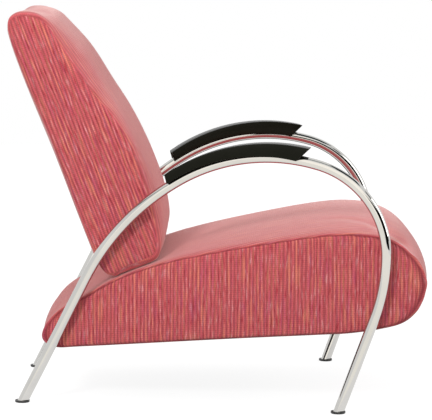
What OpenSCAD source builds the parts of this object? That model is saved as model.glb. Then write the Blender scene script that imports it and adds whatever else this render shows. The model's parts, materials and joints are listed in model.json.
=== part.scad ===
// Lounge chair: two bent tube side frames carry an upholstered seat and back.
// +Z is up, the chair faces -Y, and the origin lies on the floor under its middle.
// Side views are drawn forward and upward from the front feet, in the right-hand side frame.

/* [Side tubes] */
// Outside diameter of the bent tube
tube_od = 22; // [18:1:28]
// Wall of the bent tube
tube_wall = 2; // [1.5:0.5:3]
// Distance between the two front feet, centre to centre
front_track = 629; // [580:1:680]
// Distance between the two rear feet, centre to centre
rear_track = 425; // [390:1:470]
// Angle that the front leg leans forward from upright
front_leg_lean = 20; // [15:0.5:25]
// Length of the straight front leg
front_leg_len = 217; // [190:1:240]
// Radius of the bend between the front leg and the front bend
lower_bend_r = 374; // [340:1:410]
// Angle of that lower bend
lower_bend_angle = 19.9; // [15:0.1:24]
// Radius of the front bend
front_bend_r = 196; // [180:1:215]
// Angle of the front bend
front_bend_angle = 74.5; // [70:0.5:79]
// Radius of the bend under the armrest
top_bend_r = 378; // [350:1:410]
// Angle of the bend under the armrest
top_bend_angle = 45.8; // [42:0.1:50]
// Radius of the bend behind the armrest
rear_bend_r = 517; // [480:1:560]
// Angle of the bend behind the armrest
rear_bend_angle = 32.8; // [29:0.1:36]

/* [Feet] */
// Diameter of a foot's disc
glide_d = 31; // [26:1:40]
// Thickness of a foot's disc
glide_t = 4.5; // [3:0.5:8]
// Width of the bevel round the disc
glide_bevel = 1; // [0.5:0.1:1.5]
// Length of the stem inside the tube
glide_stem_len = 28; // [18:1:45]

/* [Armrests] */
// Width of an armrest
armrest_w = 45; // [38:1:56]
// Radius of the armrest's upper edge
armrest_top_r = 383; // [375:1:395]
// Height of the upper edge over the middle of the tube below it
armrest_top_rise = 29; // [25:1:34]
// Radius of the armrest's lower edge
armrest_bottom_r = 342; // [335:1:348]
// Height of the lower edge over the middle of the tube below it
armrest_bottom_rise = 5; // [2:1:8]
// Distance of the lower edge's centre behind the centre of the bend below it
armrest_bottom_set = 18; // [12:1:24]
// Angle of the armrest's front end round both centres, from straight ahead
armrest_front_angle = 78; // [74:1:84]
// Angle of the armrest's rear end round both centres, from straight ahead
armrest_rear_angle = 125; // [118:1:128]

/* [Seat] */
// Length of the seat's side along its underside
seat_len = 824; // [780:1:860]
// Height of the seat's side, square to its underside
seat_h = 209; // [190:1:230]
// Distance from the front feet back to the seat's rear end
seat_rear_reach = 629.5; // [610:0.5:650]
// Height of the seat's rear end over the floor
seat_rear_h = 111.6; // [100:0.1:125]
// Angle that the underside rises towards the front
seat_pitch = 4.9; // [3:0.1:7]
// Gap between a side tube and the side of the seat
seat_gap = 8; // [6:0.5:12]
// Height that the upper face rises over its side seams
seat_crown = 28; // [20:1:34]

/* [Back] */
// Thickness of the back at its side
back_depth = 156; // [145:1:165]
// Length of the back at its side
back_len = 597; // [570:1:620]
// Distance from the front feet back to the back's lower rear edge
back_rear_reach = 491.5; // [489:0.5:505]
// Height of the back's lower rear edge over the floor
back_rear_h = 262; // [261:0.5:275]
// Angle that the back leans from upright
back_lean = 21.2; // [19:0.1:23]
// Width of the back at the height of its front edge over the seat
back_w = 460; // [430:1:466]
// Angle that each side of the back turns in towards the rear
back_toe = 4.5; // [3:0.1:7]
// Height that the front face rises over its sides
back_crown = 38; // [28:1:42]

/* [Upholstery] */
// Thickness of the cover fabric
cover_t = 2; // [1.5:0.1:3]
// Thickness of the foam sheet over each side panel
side_foam_t = 10; // [8:0.5:14]
// Height that a padded side stands proud in its middle
side_bulge = 3; // [1:0.5:5]
// Width of the cloth turned under round the seat's opening
hem_w = 42; // [30:1:60]
// Thickness of the dust cloth under the seat
dust_cloth_t = 1; // [0.6:0.1:2]
// Thickness of the webbing straps
webbing_t = 2; // [1.5:0.1:3]
// Width of a webbing strap
webbing_w = 50; // [40:1:60]
// Number of straps across the seat
seat_strap_count = 7; // [4:1:8]
// Number of straps across the back
back_strap_count = 5; // [3:1:6]

/* [Timber] */
// Thickness of the plywood side panels
panel_t = 18; // [15:1:22]
// Thickness of the cross rails
rail_t = 24; // [20:1:28]
// Length of a corner block's two short sides
corner_block_leg = 48; // [38:1:56]
// Height of a corner block
corner_block_h = 27; // [20:1:29]

/* [Fixings] */
// Diameter of the frame bolts
bolt_d = 8; // [6:1:10]
// Length that a bolt reaches past the middle of the tube
bolt_past_tube = 5; // [3:0.5:7]
// Width across a bolt head's corners
bolt_head_d = 15; // [12:0.5:18]
// Height of a bolt head
bolt_head_h = 5.3; // [4:0.1:7]
// Diameter of a washer
washer_d = 24; // [20:1:30]
// Thickness of a washer
washer_t = 2; // [1.5:0.1:3]
// Diameter of the spacers between the tubes and the upholstery
spacer_d = 18; // [15:0.5:20]
// Diameter of the threaded bushes inside the tubes
bush_d = 13; // [12:0.5:14]
// Diameter of the wood screws
screw_d = 5; // [4:0.5:6]
// Length of the wood screws that join the timber
screw_len = 50; // [40:1:60]
// Diameter of a wood screw's head
screw_head_d = 9; // [8:0.5:11]
// Height of a wood screw's head
screw_head_h = 3; // [2.5:0.5:4]
// Length of an armrest screw in the wood
armrest_screw_grip = 11; // [8:0.5:12]

/* [Hidden] */
$fn = 64;

// Clearance between pieces that fit together
fit_gap = 0.3;
// Clearance round a screw or bolt in its hole
hole_gap = 0.3;
// Clearance between a foot's stem and the tube's bore
stem_gap = 0.1;
// Gap between the dust cloth and the cover above it
dust_gap = 0.5;
// Reach of a cut past the face that it cuts
over = 5;
// Share of its leg that a corner block reaches past the panel at its tip
block_tip_share = 0.125;
// Shares of the hem that the dust cloth leaves bare at its rear, front and sides
dust_hem_shares = [0.75, 1 / 3, 0.5];
// Directions, forward and up, in which the foam clears the straps of the back
strap_rise_shares = [1, 0.5];
// Facets of the holes in cloth and foam
soft_hole_fn = 16;

// Share of its angle to which a bend is drawn before it is cut where the next stretch starts
bend_over_share = 1.1;

// How much the tube's radius shrinks in its first and third bend
bend_draw = 0.1;

tube_r = tube_od / 2;
bore_r = tube_r - tube_wall;

// Where the fixings sit: shares of the bends and of the rear leg's height
front_bolt_share = 0.5;
rear_bolt_share = 0.6;
back_bolt_shares = [0.40, 0.66];
armrest_screw_shares = [0.20, 0.52, 0.85];

bend_radii = [lower_bend_r, front_bend_r, top_bend_r, rear_bend_r];
bend_angles = [lower_bend_angle, front_bend_angle, top_bend_angle, rear_bend_angle];
last_bend = len(bend_radii) - 1;
top_bend = 2;

// Route of a side tube in its own plane, from the front foot up and over to the rear foot
function heading(i) = i == 0 ? 90 - front_leg_lean : heading(i - 1) + bend_angles[i - 1];
function left_of(angle) = [-sin(angle), cos(angle)];
function bend_start(i) =
  i == 0 ? front_leg_len * [cos(heading(0)), sin(heading(0))] : on_bend(i - 1, 1);
function bend_centre(i) = bend_start(i) + bend_radii[i] * left_of(heading(i));
function on_bend(i, share) =
  bend_centre(i) - bend_radii[i] * left_of(heading(i) + share * bend_angles[i]);

rear_heading = heading(last_bend) + rear_bend_angle;
rear_leg_top = on_bend(last_bend, 1);
rear_leg_len = -rear_leg_top[1] / sin(rear_heading);
rear_foot = rear_leg_top + rear_leg_len * [cos(rear_heading), sin(rear_heading)];
function on_rear_leg(share) = rear_foot + share * (rear_leg_top - rear_foot);

// The side frames stand closer together at the rear
frame_toe = asin((front_track - rear_track) / 2 / abs(rear_foot[0]));
back_front_s = back_depth * cos(back_lean) - back_rear_reach;
back_half = back_w / 2 - back_front_s * tan(back_toe);
function back_half_at(s) = back_half + s * tan(back_toe);

// Where the back between them is wider than their tracks leave room for, both frames stand further out
function room_lacking(s) =
  back_half_at(s) + side_bulge + fit_gap + tube_r / cos(frame_toe) - front_track / 2 - s * tan(frame_toe);
frame_spread = max([
  0, room_lacking(back_front_s), room_lacking(-back_rear_reach),
  for (share = back_bolt_shares) room_lacking(on_bend(last_bend, share)[0] * cos(frame_toe))
]);
frame_front_half = front_track / 2 + frame_spread;
function frame_half(s) = frame_front_half + s * tan(frame_toe);
seat_half = frame_front_half - (tube_r + seat_gap) / cos(frame_toe);
function seat_half_at(s) = seat_half + s * tan(frame_toe);

// Side outlines: share of the length, share of the height, share of the crown at mid width
seat_knot_shares = [
  [0.032, 0.012, 0], [0.085, 0, 0], [0.73, 0, 0], [0.80, 0, 0], [0.881, 0.031, 0.08],
  [0.943, 0.095, 0.3], [0.986, 0.287, 0.62], [1, 0.478, 0.5], [0.982, 0.679, 0.48],
  [0.933, 0.876, 0.6], [0.867, 0.962, 0.8], [0.777, 0.995, 0.93], [0.629, 0.957, 1],
  [0.431, 0.873, 0.8], [0.320, 0.799, 0.2], [0.203, 0.670, 0.03], [0.109, 0.517, 0.08],
  [0.0425, 0.383, 0.12], [0.010, 0.234, 0.12], [0.0025, 0.105, 0.08]
];
// Number of the knot at the seat's foremost point
seat_nose_knot = 7;
// Share of the crown by which the underside of the back is drawn in instead
back_draw_share = 0.08;
back_knot_shares = [
  [0.135, 0, -0.02], [0.224, 0, -0.06], [0.609, 0, -back_draw_share], [0.801, 0.012, 0.1],
  [0.878, 0.075, 0.45], [0.955, 0.184, 0.58], [1, 0.310, 0.5], [0.987, 0.436, 0.48],
  [0.917, 0.534, 0.62], [0.795, 0.628, 0.82], [0.641, 0.774, 0.9], [0.551, 0.888, 0.58],
  [0.500, 0.948, 0.28], [0.353, 0.990, 0.06], [0.186, 1, 0.03], [0.051, 0.990, 0.05],
  [0, 0.946, 0.1], [0, 0.503, 0.2], [0, 0.084, 0.1], [0.038, 0.022, 0.02]
];
// Points per stretch between two knots
knot_steps = 2;
// Places across the width, as shares of the half width, and the rings that close a side
station_shares = [-1, -0.94, -0.8, -0.5, 0, 0.5, 0.8, 0.94, 1];
cap_shares = [0.7, 0.35];
// How the crown falls off towards the sides: a creased seam on the seat, a soft edge on the back
seat_fall = [2.4, 1];
back_fall = [2.6, 0.75];

// A closed smooth curve through knots: at each, it runs parallel to the line between its neighbours
function knot(knots, i) = knots[(i + len(knots)) % len(knots)];
function along(knots, i) =
  let (chord = knot(knots, i + 1) - knot(knots, i - 1)) chord / norm([chord[0], chord[1]]);
function blend(a, b, da, db, t) =
  (2 * t * t * t - 3 * t * t + 1) * a + (t * t * t - 2 * t * t + t) * da
  + (3 * t * t - 2 * t * t * t) * b + (t * t * t - t * t) * db;
function closed_curve(knots) = [
  for (i = [0 : len(knots) - 1])
    let (a = knots[i], b = knot(knots, i + 1), gap = norm([b[0] - a[0], b[1] - a[1]]))
    for (j = [0 : knot_steps - 1])
      blend(a, b, gap * along(knots, i), gap * along(knots, i + 1), j / knot_steps)
];
function scaled(shares, size) =
  [for (p = shares) [p[0] * size[0], p[1] * size[1], p[2] * size[2]]];

seat_curve = closed_curve(scaled(seat_knot_shares, [seat_len, seat_h, seat_crown]));
back_curve = closed_curve(scaled(back_knot_shares, [back_depth, back_len, back_crown]));

// From a cushion's own axes, forward and up, to the side view of the chair
function tilted(p, corner, tilt) =
  corner + [p[0] * cos(tilt) - p[1] * sin(tilt), p[0] * sin(tilt) + p[1] * cos(tilt)];
seat_corner = [-seat_rear_reach, seat_rear_h];
function seat_side(p) = tilted(p, seat_corner, seat_pitch);

function outward(curve, j) =
  let (d = knot(curve, j + 1) - knot(curve, j - 1)) [d[1], -d[0]] / norm([d[0], d[1]]);
function crown_at(x, fall) = pow(1 - pow(abs(x), fall[0]), fall[1]);
function raised(curve, j, rise) = [curve[j][0], curve[j][1]] + rise * outward(curve, j);
function middle(curve) = [
  (max([for (p = curve) p[0]]) + min([for (p = curve) p[0]])) / 2,
  (max([for (p = curve) p[1]]) + min([for (p = curve) p[1]])) / 2
];

// The seat's and the back's side views at mid width. The back stands higher where the seat would meet it
seat_middle_points = [
  for (j = [0 : len(seat_curve) - 1]) seat_side(raised(seat_curve, j, seat_curve[j][2]))
];
seat_top_points = [for (j = [seat_nose_knot * knot_steps : len(seat_curve) - 1]) seat_middle_points[j]];
back_stand = [-back_rear_reach, back_rear_h];
back_lift = max([
  0,
  for (j = [0 : len(back_curve) - 1])
    let (p = tilted(raised(back_curve, j, back_curve[j][2]), back_stand, back_lean))
    lookup(p[0], seat_top_points) + fit_gap - p[1]
]);
back_corner = back_stand + [0, back_lift];
function back_side(p) = tilted(p, back_corner, back_lean);

// The chair's middle lies under the origin
seat_reach = [for (p = seat_middle_points) p[0]];
back_reach = [for (j = [0 : len(back_curve) - 1]) back_side(raised(back_curve, j, back_curve[j][2]))[0]];
front_foot_y = (max(seat_reach) + min(back_reach)) / 2;
function placed(p, across) = [across, front_foot_y - p[0], p[1]];

// Points and faces of a padded form, drawn in by inset all over
function form_points(curve, corner, tilt, half, toe, fall, inset) =
  let (n = len(curve), mid = middle(curve))
  concat(
    [for (x = station_shares)
      for (j = [0 : n - 1])
        let (p = tilted(raised(curve, j, curve[j][2] * crown_at(x, fall) - inset), corner, tilt))
        placed(p, x * (half + p[0] * tan(toe) - inset))],
    [for (side = [-1, 1])
      for (share = cap_shares)
        for (j = [0 : n - 1])
          let (p = tilted(mid + share * (raised(curve, j, -inset) - mid), corner, tilt))
          placed(p, side * (half + p[0] * tan(toe) - inset + side_bulge * (1 - share * share)))],
    [for (side = [-1, 1])
      let (p = tilted(mid, corner, tilt))
      placed(p, side * (half + p[0] * tan(toe) - inset + side_bulge))]
  );
function ring_faces(a, b, n) = [
  for (j = [0 : n - 1])
    let (next = (j + 1) % n)
    each [[a + j, a + next, b + next], [a + j, b + next, b + j]]
];
function form_faces(n) =
  let (
    stations = len(station_shares),
    rings = len(cap_shares),
    right = n * stations,
    left = n * (stations + rings),
    hub = n * (stations + 2 * rings)
  )
  concat(
    [for (k = [0 : stations - 2]) each ring_faces(k * n, (k + 1) * n, n)],
    ring_faces(right, 0, n),
    [for (k = [1 : rings - 1]) each ring_faces(right + k * n, right + (k - 1) * n, n)],
    [for (j = [0 : n - 1])
      [right + (rings - 1) * n + (j + 1) % n, right + (rings - 1) * n + j, hub]],
    ring_faces((stations - 1) * n, left, n),
    [for (k = [1 : rings - 1]) each ring_faces(left + (k - 1) * n, left + k * n, n)],
    [for (j = [0 : n - 1])
      [left + (rings - 1) * n + j, left + (rings - 1) * n + (j + 1) % n, hub + 1]]
  );

module seat_form(inset) {
  polyhedron(
    form_points(seat_curve, seat_corner, seat_pitch, seat_half, frame_toe, seat_fall, inset),
    form_faces(len(seat_curve))
  );
}

module back_form(inset) {
  polyhedron(
    form_points(back_curve, back_corner, back_lean, back_half, back_toe, back_fall, inset),
    form_faces(len(back_curve))
  );
}

// Places a drawing in the side view: its x runs forward, its y up, and its z out to the right
module side_view() {
  translate([0, front_foot_y, 0]) rotate([90, 0, -90]) children();
}

module both_sides() {
  children();
  mirror([1, 0, 0]) children();
}

// A side-view outline drawn out over the whole width
module across(points) {
  side_view() linear_extrude(height = 2 * front_track, center = true) polygon(points);
}

// Everything between two upright side planes: half their distance at the front feet, and their toe
module between(half, toe) {
  rear = -back_rear_reach - back_len;
  front = seat_len;
  linear_extrude(height = back_rear_h + back_len)
    polygon([
      [-half - rear * tan(toe), front_foot_y - rear], [half + rear * tan(toe), front_foot_y - rear],
      [half + front * tan(toe), front_foot_y - front], [-half - front * tan(toe), front_foot_y - front]
    ]);
}

// An outline pushed outwards by the same amount on every edge
function edge_normal(points, i) =
  let (d = knot(points, i + 1) - knot(points, i)) [d[1], -d[0]] / norm(d);
function grown(points, d) = [
  for (i = [0 : len(points) - 1])
    let (a = edge_normal(points, i - 1), b = edge_normal(points, i))
    points[i] + d * (a + b) / (1 + a * b)
];

// A rectangle in a cushion's own axes, as side-view points
function box_corners(a, b) = [[a[0], a[1]], [b[0], a[1]], [b[0], b[1]], [a[0], b[1]]];
function seat_box(a, b) = [for (p = box_corners(a, b)) seat_side(p)];
function back_box(a, b) = [for (p = box_corners(a, b)) back_side(p)];

// Side tubes
module tube_leg(foot, angle, length, r) {
  translate(foot) rotate([0, 90, angle]) translate([0, 0, -over]) cylinder(r = r, h = length + over);
}

module tube_section(r, hole) {
  difference() {
    circle(r);
    if (hole > 0) circle(hole);
  }
}

// Bending draws the tube in a little, every other bend twice as much, so each stretch has its own diameter
function drawn_in(i) = bend_draw * (1 + i % 2);

// Moves from the start of a bend to its end
module past_bend(i) {
  translate([0, bend_radii[i]]) rotate(bend_angles[i]) translate([0, -bend_radii[i]]) children();
}

// The tube from one bend onwards, starting along x, with each bend cut where the next one starts
module tube_from(i, r, hole) {
  if (i > last_bend) {
    rotate([0, 90, 0]) linear_extrude(height = rear_leg_len + over) tube_section(r, hole);
  } else {
    difference() {
      translate([0, bend_radii[i]])
        rotate(-90)
          rotate_extrude(angle = bend_over_share * bend_angles[i])
            translate([bend_radii[i], 0])
              tube_section(r - drawn_in(i), hole > 0 ? hole - drawn_in(i) : 0);
      past_bend(i) translate([0, -2 * tube_od, -2 * tube_od]) cube(4 * tube_od);
    }
    past_bend(i) tube_from(i + 1, r, hole);
  }
}

module tube_route(r, hole = 0) {
  rotate(heading(0)) {
    rotate([0, 90, 0])
      translate([0, 0, -over]) linear_extrude(height = front_leg_len + over) tube_section(r, hole);
    translate([front_leg_len, 0]) tube_from(0, r, hole);
  }
}

// Places a drawing in the plane of the right-hand side tube
module in_frame() {
  side_view() translate([0, 0, frame_front_half]) rotate([0, -frame_toe, 0]) children();
}

// Places a drawing on a point of the right-hand tube, its z pointing out square to a side of that toe
module on_tube(point, toe) {
  side_view()
    translate([point[0] * cos(frame_toe), point[1], frame_front_half + point[0] * sin(frame_toe)])
      rotate([0, -toe, 0]) children();
}

seat_bolt_points = [on_bend(0, front_bolt_share), on_rear_leg(rear_bolt_share)];
back_bolt_points = [for (share = back_bolt_shares) on_bend(last_bend, share)];

// Distance from the middle of the tube to the face of a side panel, along the bolt
seat_bolt_reach = tube_r + seat_gap + cover_t + side_foam_t;
function back_bolt_reach(point) =
  let (s = point[0] * cos(frame_toe))
  (frame_half(s) - back_half_at(s)) * cos(back_toe) + cover_t + side_foam_t;

module seat_bolt_line(r, from, to) {
  for (point = seat_bolt_points)
    on_tube(point, frame_toe) translate([0, 0, from]) cylinder(r = r, h = to - from);
}

module back_bolt_line(r, from, to) {
  for (point = back_bolt_points)
    on_tube(point, back_toe) translate([0, 0, from]) cylinder(r = r, h = to - from);
}

module armrest_screw_line(r, from, to) {
  for (share = armrest_screw_shares)
    in_frame()
      translate(bend_centre(top_bend))
        rotate([0, 90, heading(top_bend) - 90 + share * top_bend_angle])
          translate([0, 0, top_bend_r + from]) cylinder(r = r, h = to - from);
}

module floor_cut(height) {
  translate([-front_track, -seat_len, -seat_len])
    cube([2 * front_track, 2 * seat_len, seat_len + height]);
}

module side_tube() {
  color([0.82, 0.83, 0.82])
    difference() {
      in_frame() tube_route(tube_r, bore_r);
      floor_cut(glide_t);
      seat_bolt_line(bolt_d / 2 + hole_gap, -tube_od, 0);
      back_bolt_line(bolt_d / 2 + hole_gap, -tube_od, 0);
      armrest_screw_line(screw_d / 2 + hole_gap, 0, tube_od);
      armrest_screw_line(screw_head_d / 2 + hole_gap, -tube_od, 0);
    }
}

// How far a round piece of a given diameter reaches across the narrowest bore before its rim meets the wall
function bore_reach(d) = sqrt(pow(bore_r - 2 * bend_draw, 2) - d * d / 4) - stem_gap;

module tube_bushes() {
  reach = bore_reach(bush_d);
  color([0.45, 0.45, 0.47])
    both_sides()
      difference() {
        union() {
          seat_bolt_line(bush_d / 2, -reach, reach);
          back_bolt_line(bush_d / 2, -reach, reach);
        }
        seat_bolt_line(bolt_d / 2 + stem_gap, -tube_r, tube_r);
        back_bolt_line(bolt_d / 2 + stem_gap, -tube_r, tube_r);
      }
}

// Feet
module glide(foot, angle) {
  color([0.07, 0.07, 0.07]) {
    side_view()
      translate([foot[0] * cos(frame_toe), 0, frame_front_half + foot[0] * sin(frame_toe)])
        rotate([-90, 0, 0]) {
          cylinder(r1 = glide_d / 2 - glide_bevel, r2 = glide_d / 2, h = glide_bevel);
          translate([0, 0, glide_bevel]) cylinder(r = glide_d / 2, h = glide_t - glide_bevel);
        }
    difference() {
      in_frame() tube_leg(foot, angle, glide_stem_len, bore_r - stem_gap);
      floor_cut(glide_t / 2);
    }
  }
}

module glide_front() glide([0, 0], heading(0));

module glide_rear() glide(rear_foot, rear_heading - 180);

// Armrests
function edge_centre(set, rise, r) = bend_centre(top_bend) + [-set, top_bend_r + rise - r];
armrest_top_centre = edge_centre(0, armrest_top_rise, armrest_top_r);
armrest_bottom_centre = edge_centre(armrest_bottom_set, armrest_bottom_rise, armrest_bottom_r);
function armrest_top(angle, r) = armrest_top_centre + r * [cos(angle), sin(angle)];
function armrest_bottom(angle) = armrest_bottom_centre + armrest_bottom_r * [cos(angle), sin(angle)];

module armrest_outline() {
  $fn = 180;
  far = 2 * armrest_top_r;
  difference() {
    intersection() {
      translate(armrest_top_centre) circle(armrest_top_r);
      polygon([
        armrest_bottom_centre, armrest_bottom(armrest_front_angle),
        armrest_top(armrest_front_angle, armrest_top_r), armrest_top(armrest_front_angle, far),
        armrest_top(armrest_rear_angle, far), armrest_top(armrest_rear_angle, armrest_top_r),
        armrest_bottom(armrest_rear_angle)
      ]);
    }
    translate(armrest_bottom_centre) circle(armrest_bottom_r);
  }
}

module armrest() {
  color([0.10, 0.10, 0.08])
    difference() {
      in_frame() linear_extrude(height = armrest_w, center = true) armrest_outline();
      in_frame() tube_route(tube_r + stem_gap);
      armrest_screw_line(screw_d / 2 + stem_gap, 0, tube_r + armrest_screw_grip + fit_gap);
    }
}

module armrest_screws() {
  head_top = bore_reach(screw_head_d);
  color([0.6, 0.6, 0.6])
    both_sides() {
      armrest_screw_line(screw_d / 2, head_top - screw_head_h, tube_r + armrest_screw_grip);
      armrest_screw_line(screw_head_d / 2, head_top - screw_head_h, head_top);
    }
}

// Seat: where the timber stands inside it, in the seat's own axes
timber_floor = 2 * cover_t + fit_gap;
seat_panel_inset = cover_t + side_foam_t;
seat_flat_share = 0.80;
seat_panel_shares = [
  [0.905, 0.10], [0.93, 0.16], [0.957, 0.34], [0.95, 0.58], [0.908, 0.72], [0.85, 0.72],
  [0.073, 0.34], [0.037, 0.28]
];
seat_strap_from_shares = [0.073, 0.34];
seat_strap_to_shares = [0.85, 0.72];
seat_rail_share = 0.052;
seat_middle_share = 0.46;
seat_nose_share = 0.888;
seat_nose_floor_share = 0.1;
seat_front_rail_h_share = 0.37;
seat_middle_rail_h_share = 0.26;
seat_rear_rail_h_share = 0.16;
rail_screw_shares = [0.25, 0.68];

function seat_point(share) = [share[0] * seat_len, share[1] * seat_h];
seat_strap_from = seat_point(seat_strap_from_shares);
seat_strap_to = seat_point(seat_strap_to_shares);

seat_timber_rear = seat_panel_shares[len(seat_panel_shares) - 1][0] * seat_len;
seat_panel_points = concat(
  [seat_side([seat_timber_rear, timber_floor]), seat_side([seat_flat_share * seat_len, timber_floor])],
  [for (share = seat_panel_shares) seat_side(seat_point(share))]
);

// Height of the timber's underside, which rises at the nose
function seat_floor_at(a) = a > seat_flat_share * seat_len ? seat_nose_floor_share * seat_h : timber_floor;

module seat_screw_lines(r, from, to) {
  for (a = [seat_rail_share * seat_len, seat_middle_share * seat_len, seat_nose_share * seat_len])
    for (share = rail_screw_shares)
      let (
        p = seat_side([a, seat_floor_at(a) + share * seat_rear_rail_h_share * seat_h]),
        out = seat_half_at(p[0]) - seat_panel_inset / cos(frame_toe)
      )
      side_view()
        translate([p[0], p[1], out])
          rotate([0, -frame_toe, 0]) translate([0, 0, -to]) cylinder(r = r, h = to - from);
}

module seat_panel() {
  color([0.78, 0.64, 0.45])
    difference() {
      intersection() {
        across(seat_panel_points);
        between(seat_half - seat_panel_inset / cos(frame_toe), frame_toe);
        translate([-front_track, -seat_len, 0]) cube([front_track, 2 * seat_len, seat_len]);
      }
      between(seat_half - (seat_panel_inset + panel_t) / cos(frame_toe), frame_toe);
      seat_bolt_line(bolt_d / 2 + hole_gap, -seat_bolt_reach - panel_t - over, 0);
      seat_screw_lines(screw_d / 2 + hole_gap, -over, panel_t + over);
      seat_screw_lines(screw_head_d / 2 + hole_gap, -over, screw_head_h + fit_gap);
    }
}

module seat_rail(share, top_share) {
  a = share * seat_len - rail_t / 2;
  color([0.74, 0.58, 0.38])
    difference() {
      intersection() {
        across(seat_box([a, seat_floor_at(a)], [a + rail_t, top_share * seat_h]));
        between(seat_half - (seat_panel_inset + panel_t) / cos(frame_toe), frame_toe);
      }
      both_sides() seat_screw_lines(screw_d / 2 + stem_gap, -over, screw_len + fit_gap);
    }
}

module seat_front_rail() seat_rail(seat_nose_share, seat_front_rail_h_share);

module seat_middle_rail() seat_rail(seat_middle_share, seat_middle_rail_h_share);

module seat_rear_rail() seat_rail(seat_rail_share, seat_rear_rail_h_share);

// A block glued in each inside corner of the seat frame
module seat_corner_blocks() {
  inner = seat_half - (seat_panel_inset + panel_t) / cos(frame_toe);
  color([0.70, 0.53, 0.33])
    for (end = [[seat_rail_share, 1], [seat_nose_share, -1]]) {
      a = end[0] * seat_len + end[1] * rail_t / 2;
      b = a + end[1] * corner_block_leg;
      wall = seat_half_at(seat_side([a, 0])[0]) - seat_half + inner;
      intersection() {
        across(seat_box([min(a, b), seat_floor_at(a)], [max(a, b), seat_floor_at(a) + corner_block_h]));
        between(inner, frame_toe);
        linear_extrude(height = seat_len)
          for (side = [-1, 1])
            let (
              corner = seat_side([a, seat_floor_at(a) + corner_block_h])[0] - end[1] * over,
              tip = seat_side([b, seat_floor_at(a)])[0]
            )
            polygon([
              [side * (wall + corner_block_leg), front_foot_y - corner],
              [side * (wall - corner_block_leg), front_foot_y - corner],
              [side * (wall + block_tip_share * corner_block_leg), front_foot_y - tip],
              [side * (wall + corner_block_leg), front_foot_y - tip]
            ]);
      }
    }
}

module seat_frame_screws() {
  color([0.75, 0.66, 0.35])
    both_sides() {
      seat_screw_lines(screw_d / 2, 0, screw_len);
      seat_screw_lines(screw_head_d / 2, 0, screw_head_h);
    }
}

// Straps laid across two edges that run from one point to another
module straps(count, from, to, corner, tilt, half, toe) {
  run = to - from;
  step = run / count;
  ahead = run / norm(run);
  lift = [-ahead[1], ahead[0]];
  intersection() {
    for (i = [0 : count - 1])
      let (a = from + (i + 0.5) * step - webbing_w / 2 * ahead, b = a + webbing_w * ahead)
      across([for (p = [a, b, b + webbing_t * lift, a + webbing_t * lift]) tilted(p, corner, tilt)]);
    between(half, toe);
  }
}

module seat_webbing() {
  color([0.16, 0.15, 0.14])
    straps(seat_strap_count, seat_strap_from, seat_strap_to, seat_corner, seat_pitch,
      seat_half - seat_panel_inset / cos(frame_toe), frame_toe);
}

module seat_soft_holes() {
  $fn = soft_hole_fn;
  both_sides() seat_bolt_line(spacer_d / 2 + fit_gap, -seat_bolt_reach - over, -tube_r);
}

module seat_foam() {
  color([0.93, 0.88, 0.66])
    difference() {
      seat_form(cover_t + fit_gap);
      intersection() {
        union() {
          across(grown(seat_panel_points, fit_gap));
          across([for (p = [
            seat_strap_from - [fit_gap, webbing_t], seat_strap_to + [fit_gap, -webbing_t],
            seat_strap_to + [fit_gap, webbing_t + fit_gap],
            seat_strap_from + [-fit_gap, webbing_t + fit_gap]
          ]) seat_side(p)]);
          across(seat_box(
            [seat_timber_rear - fit_gap, -over],
            [seat_flat_share * seat_len - hem_w, timber_floor + fit_gap]
          ));
        }
        between(seat_half - seat_panel_inset / cos(frame_toe) + fit_gap, frame_toe);
      }
      seat_soft_holes();
    }
}

module seat_cover() {
  color([0.80, 0.36, 0.40])
    difference() {
      seat_form(0);
      seat_form(cover_t);
      intersection() {
        across(seat_box(
          [seat_rail_share * seat_len + hem_w, -over], [seat_flat_share * seat_len - hem_w, cover_t + over]
        ));
        between(seat_half - hem_w, frame_toe);
      }
      seat_soft_holes();
    }
}

module seat_dust_cloth() {
  color([0.08, 0.08, 0.08])
    intersection() {
      across(seat_box(
        [seat_rail_share * seat_len + dust_hem_shares[0] * hem_w, -dust_gap - dust_cloth_t],
        [seat_flat_share * seat_len - dust_hem_shares[1] * hem_w, -dust_gap]
      ));
      between(seat_half - dust_hem_shares[2] * hem_w, frame_toe);
    }
}

module bolt_set(head_from) {
  translate([0, 0, head_from - bolt_head_h]) cylinder(r = bolt_head_d / 2, h = bolt_head_h, $fn = 6);
  translate([0, 0, head_from]) cylinder(r = bolt_d / 2, h = bolt_past_tube - head_from);
}

module washer_ring(from) {
  translate([0, 0, from])
    difference() {
      cylinder(r = washer_d / 2, h = washer_t);
      translate([0, 0, -over]) cylinder(r = bolt_d / 2 + hole_gap, h = washer_t + 2 * over);
    }
}

module seat_bolts() {
  color([0.6, 0.6, 0.62])
    both_sides()
      for (point = seat_bolt_points)
        on_tube(point, frame_toe) bolt_set(-seat_bolt_reach - panel_t - washer_t);
}

module seat_washers() {
  color([0.7, 0.7, 0.72])
    both_sides()
      for (point = seat_bolt_points)
        on_tube(point, frame_toe) washer_ring(-seat_bolt_reach - panel_t - washer_t);
}

module seat_spacers() {
  color([0.80, 0.81, 0.80])
    both_sides()
      difference() {
        seat_bolt_line(spacer_d / 2, -seat_bolt_reach, 0);
        in_frame() tube_route(tube_r);
        seat_bolt_line(bolt_d / 2 + hole_gap, -seat_bolt_reach - over, over);
      }
}

// Back: where the timber stands inside it, in the back's own axes
back_panel_inset = cover_t + side_foam_t;
back_panel_shares = [
  [0.82, 0.045], [0.84, 0.075], [0.84, 0.20], [0.34, 0.87], [0.26, 0.93], [0.11, 0.93]
];
back_strap_from_shares = [0.84, 0.20];
back_strap_to_shares = [0.34, 0.87];
back_bottom_share = 0.030;
back_middle_share = 0.50;
back_top_share = 0.90;
back_rail_front_shares = [0.70, 0.45, 0.25];
back_rail_shares = [back_bottom_share, back_middle_share, back_top_share];

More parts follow.
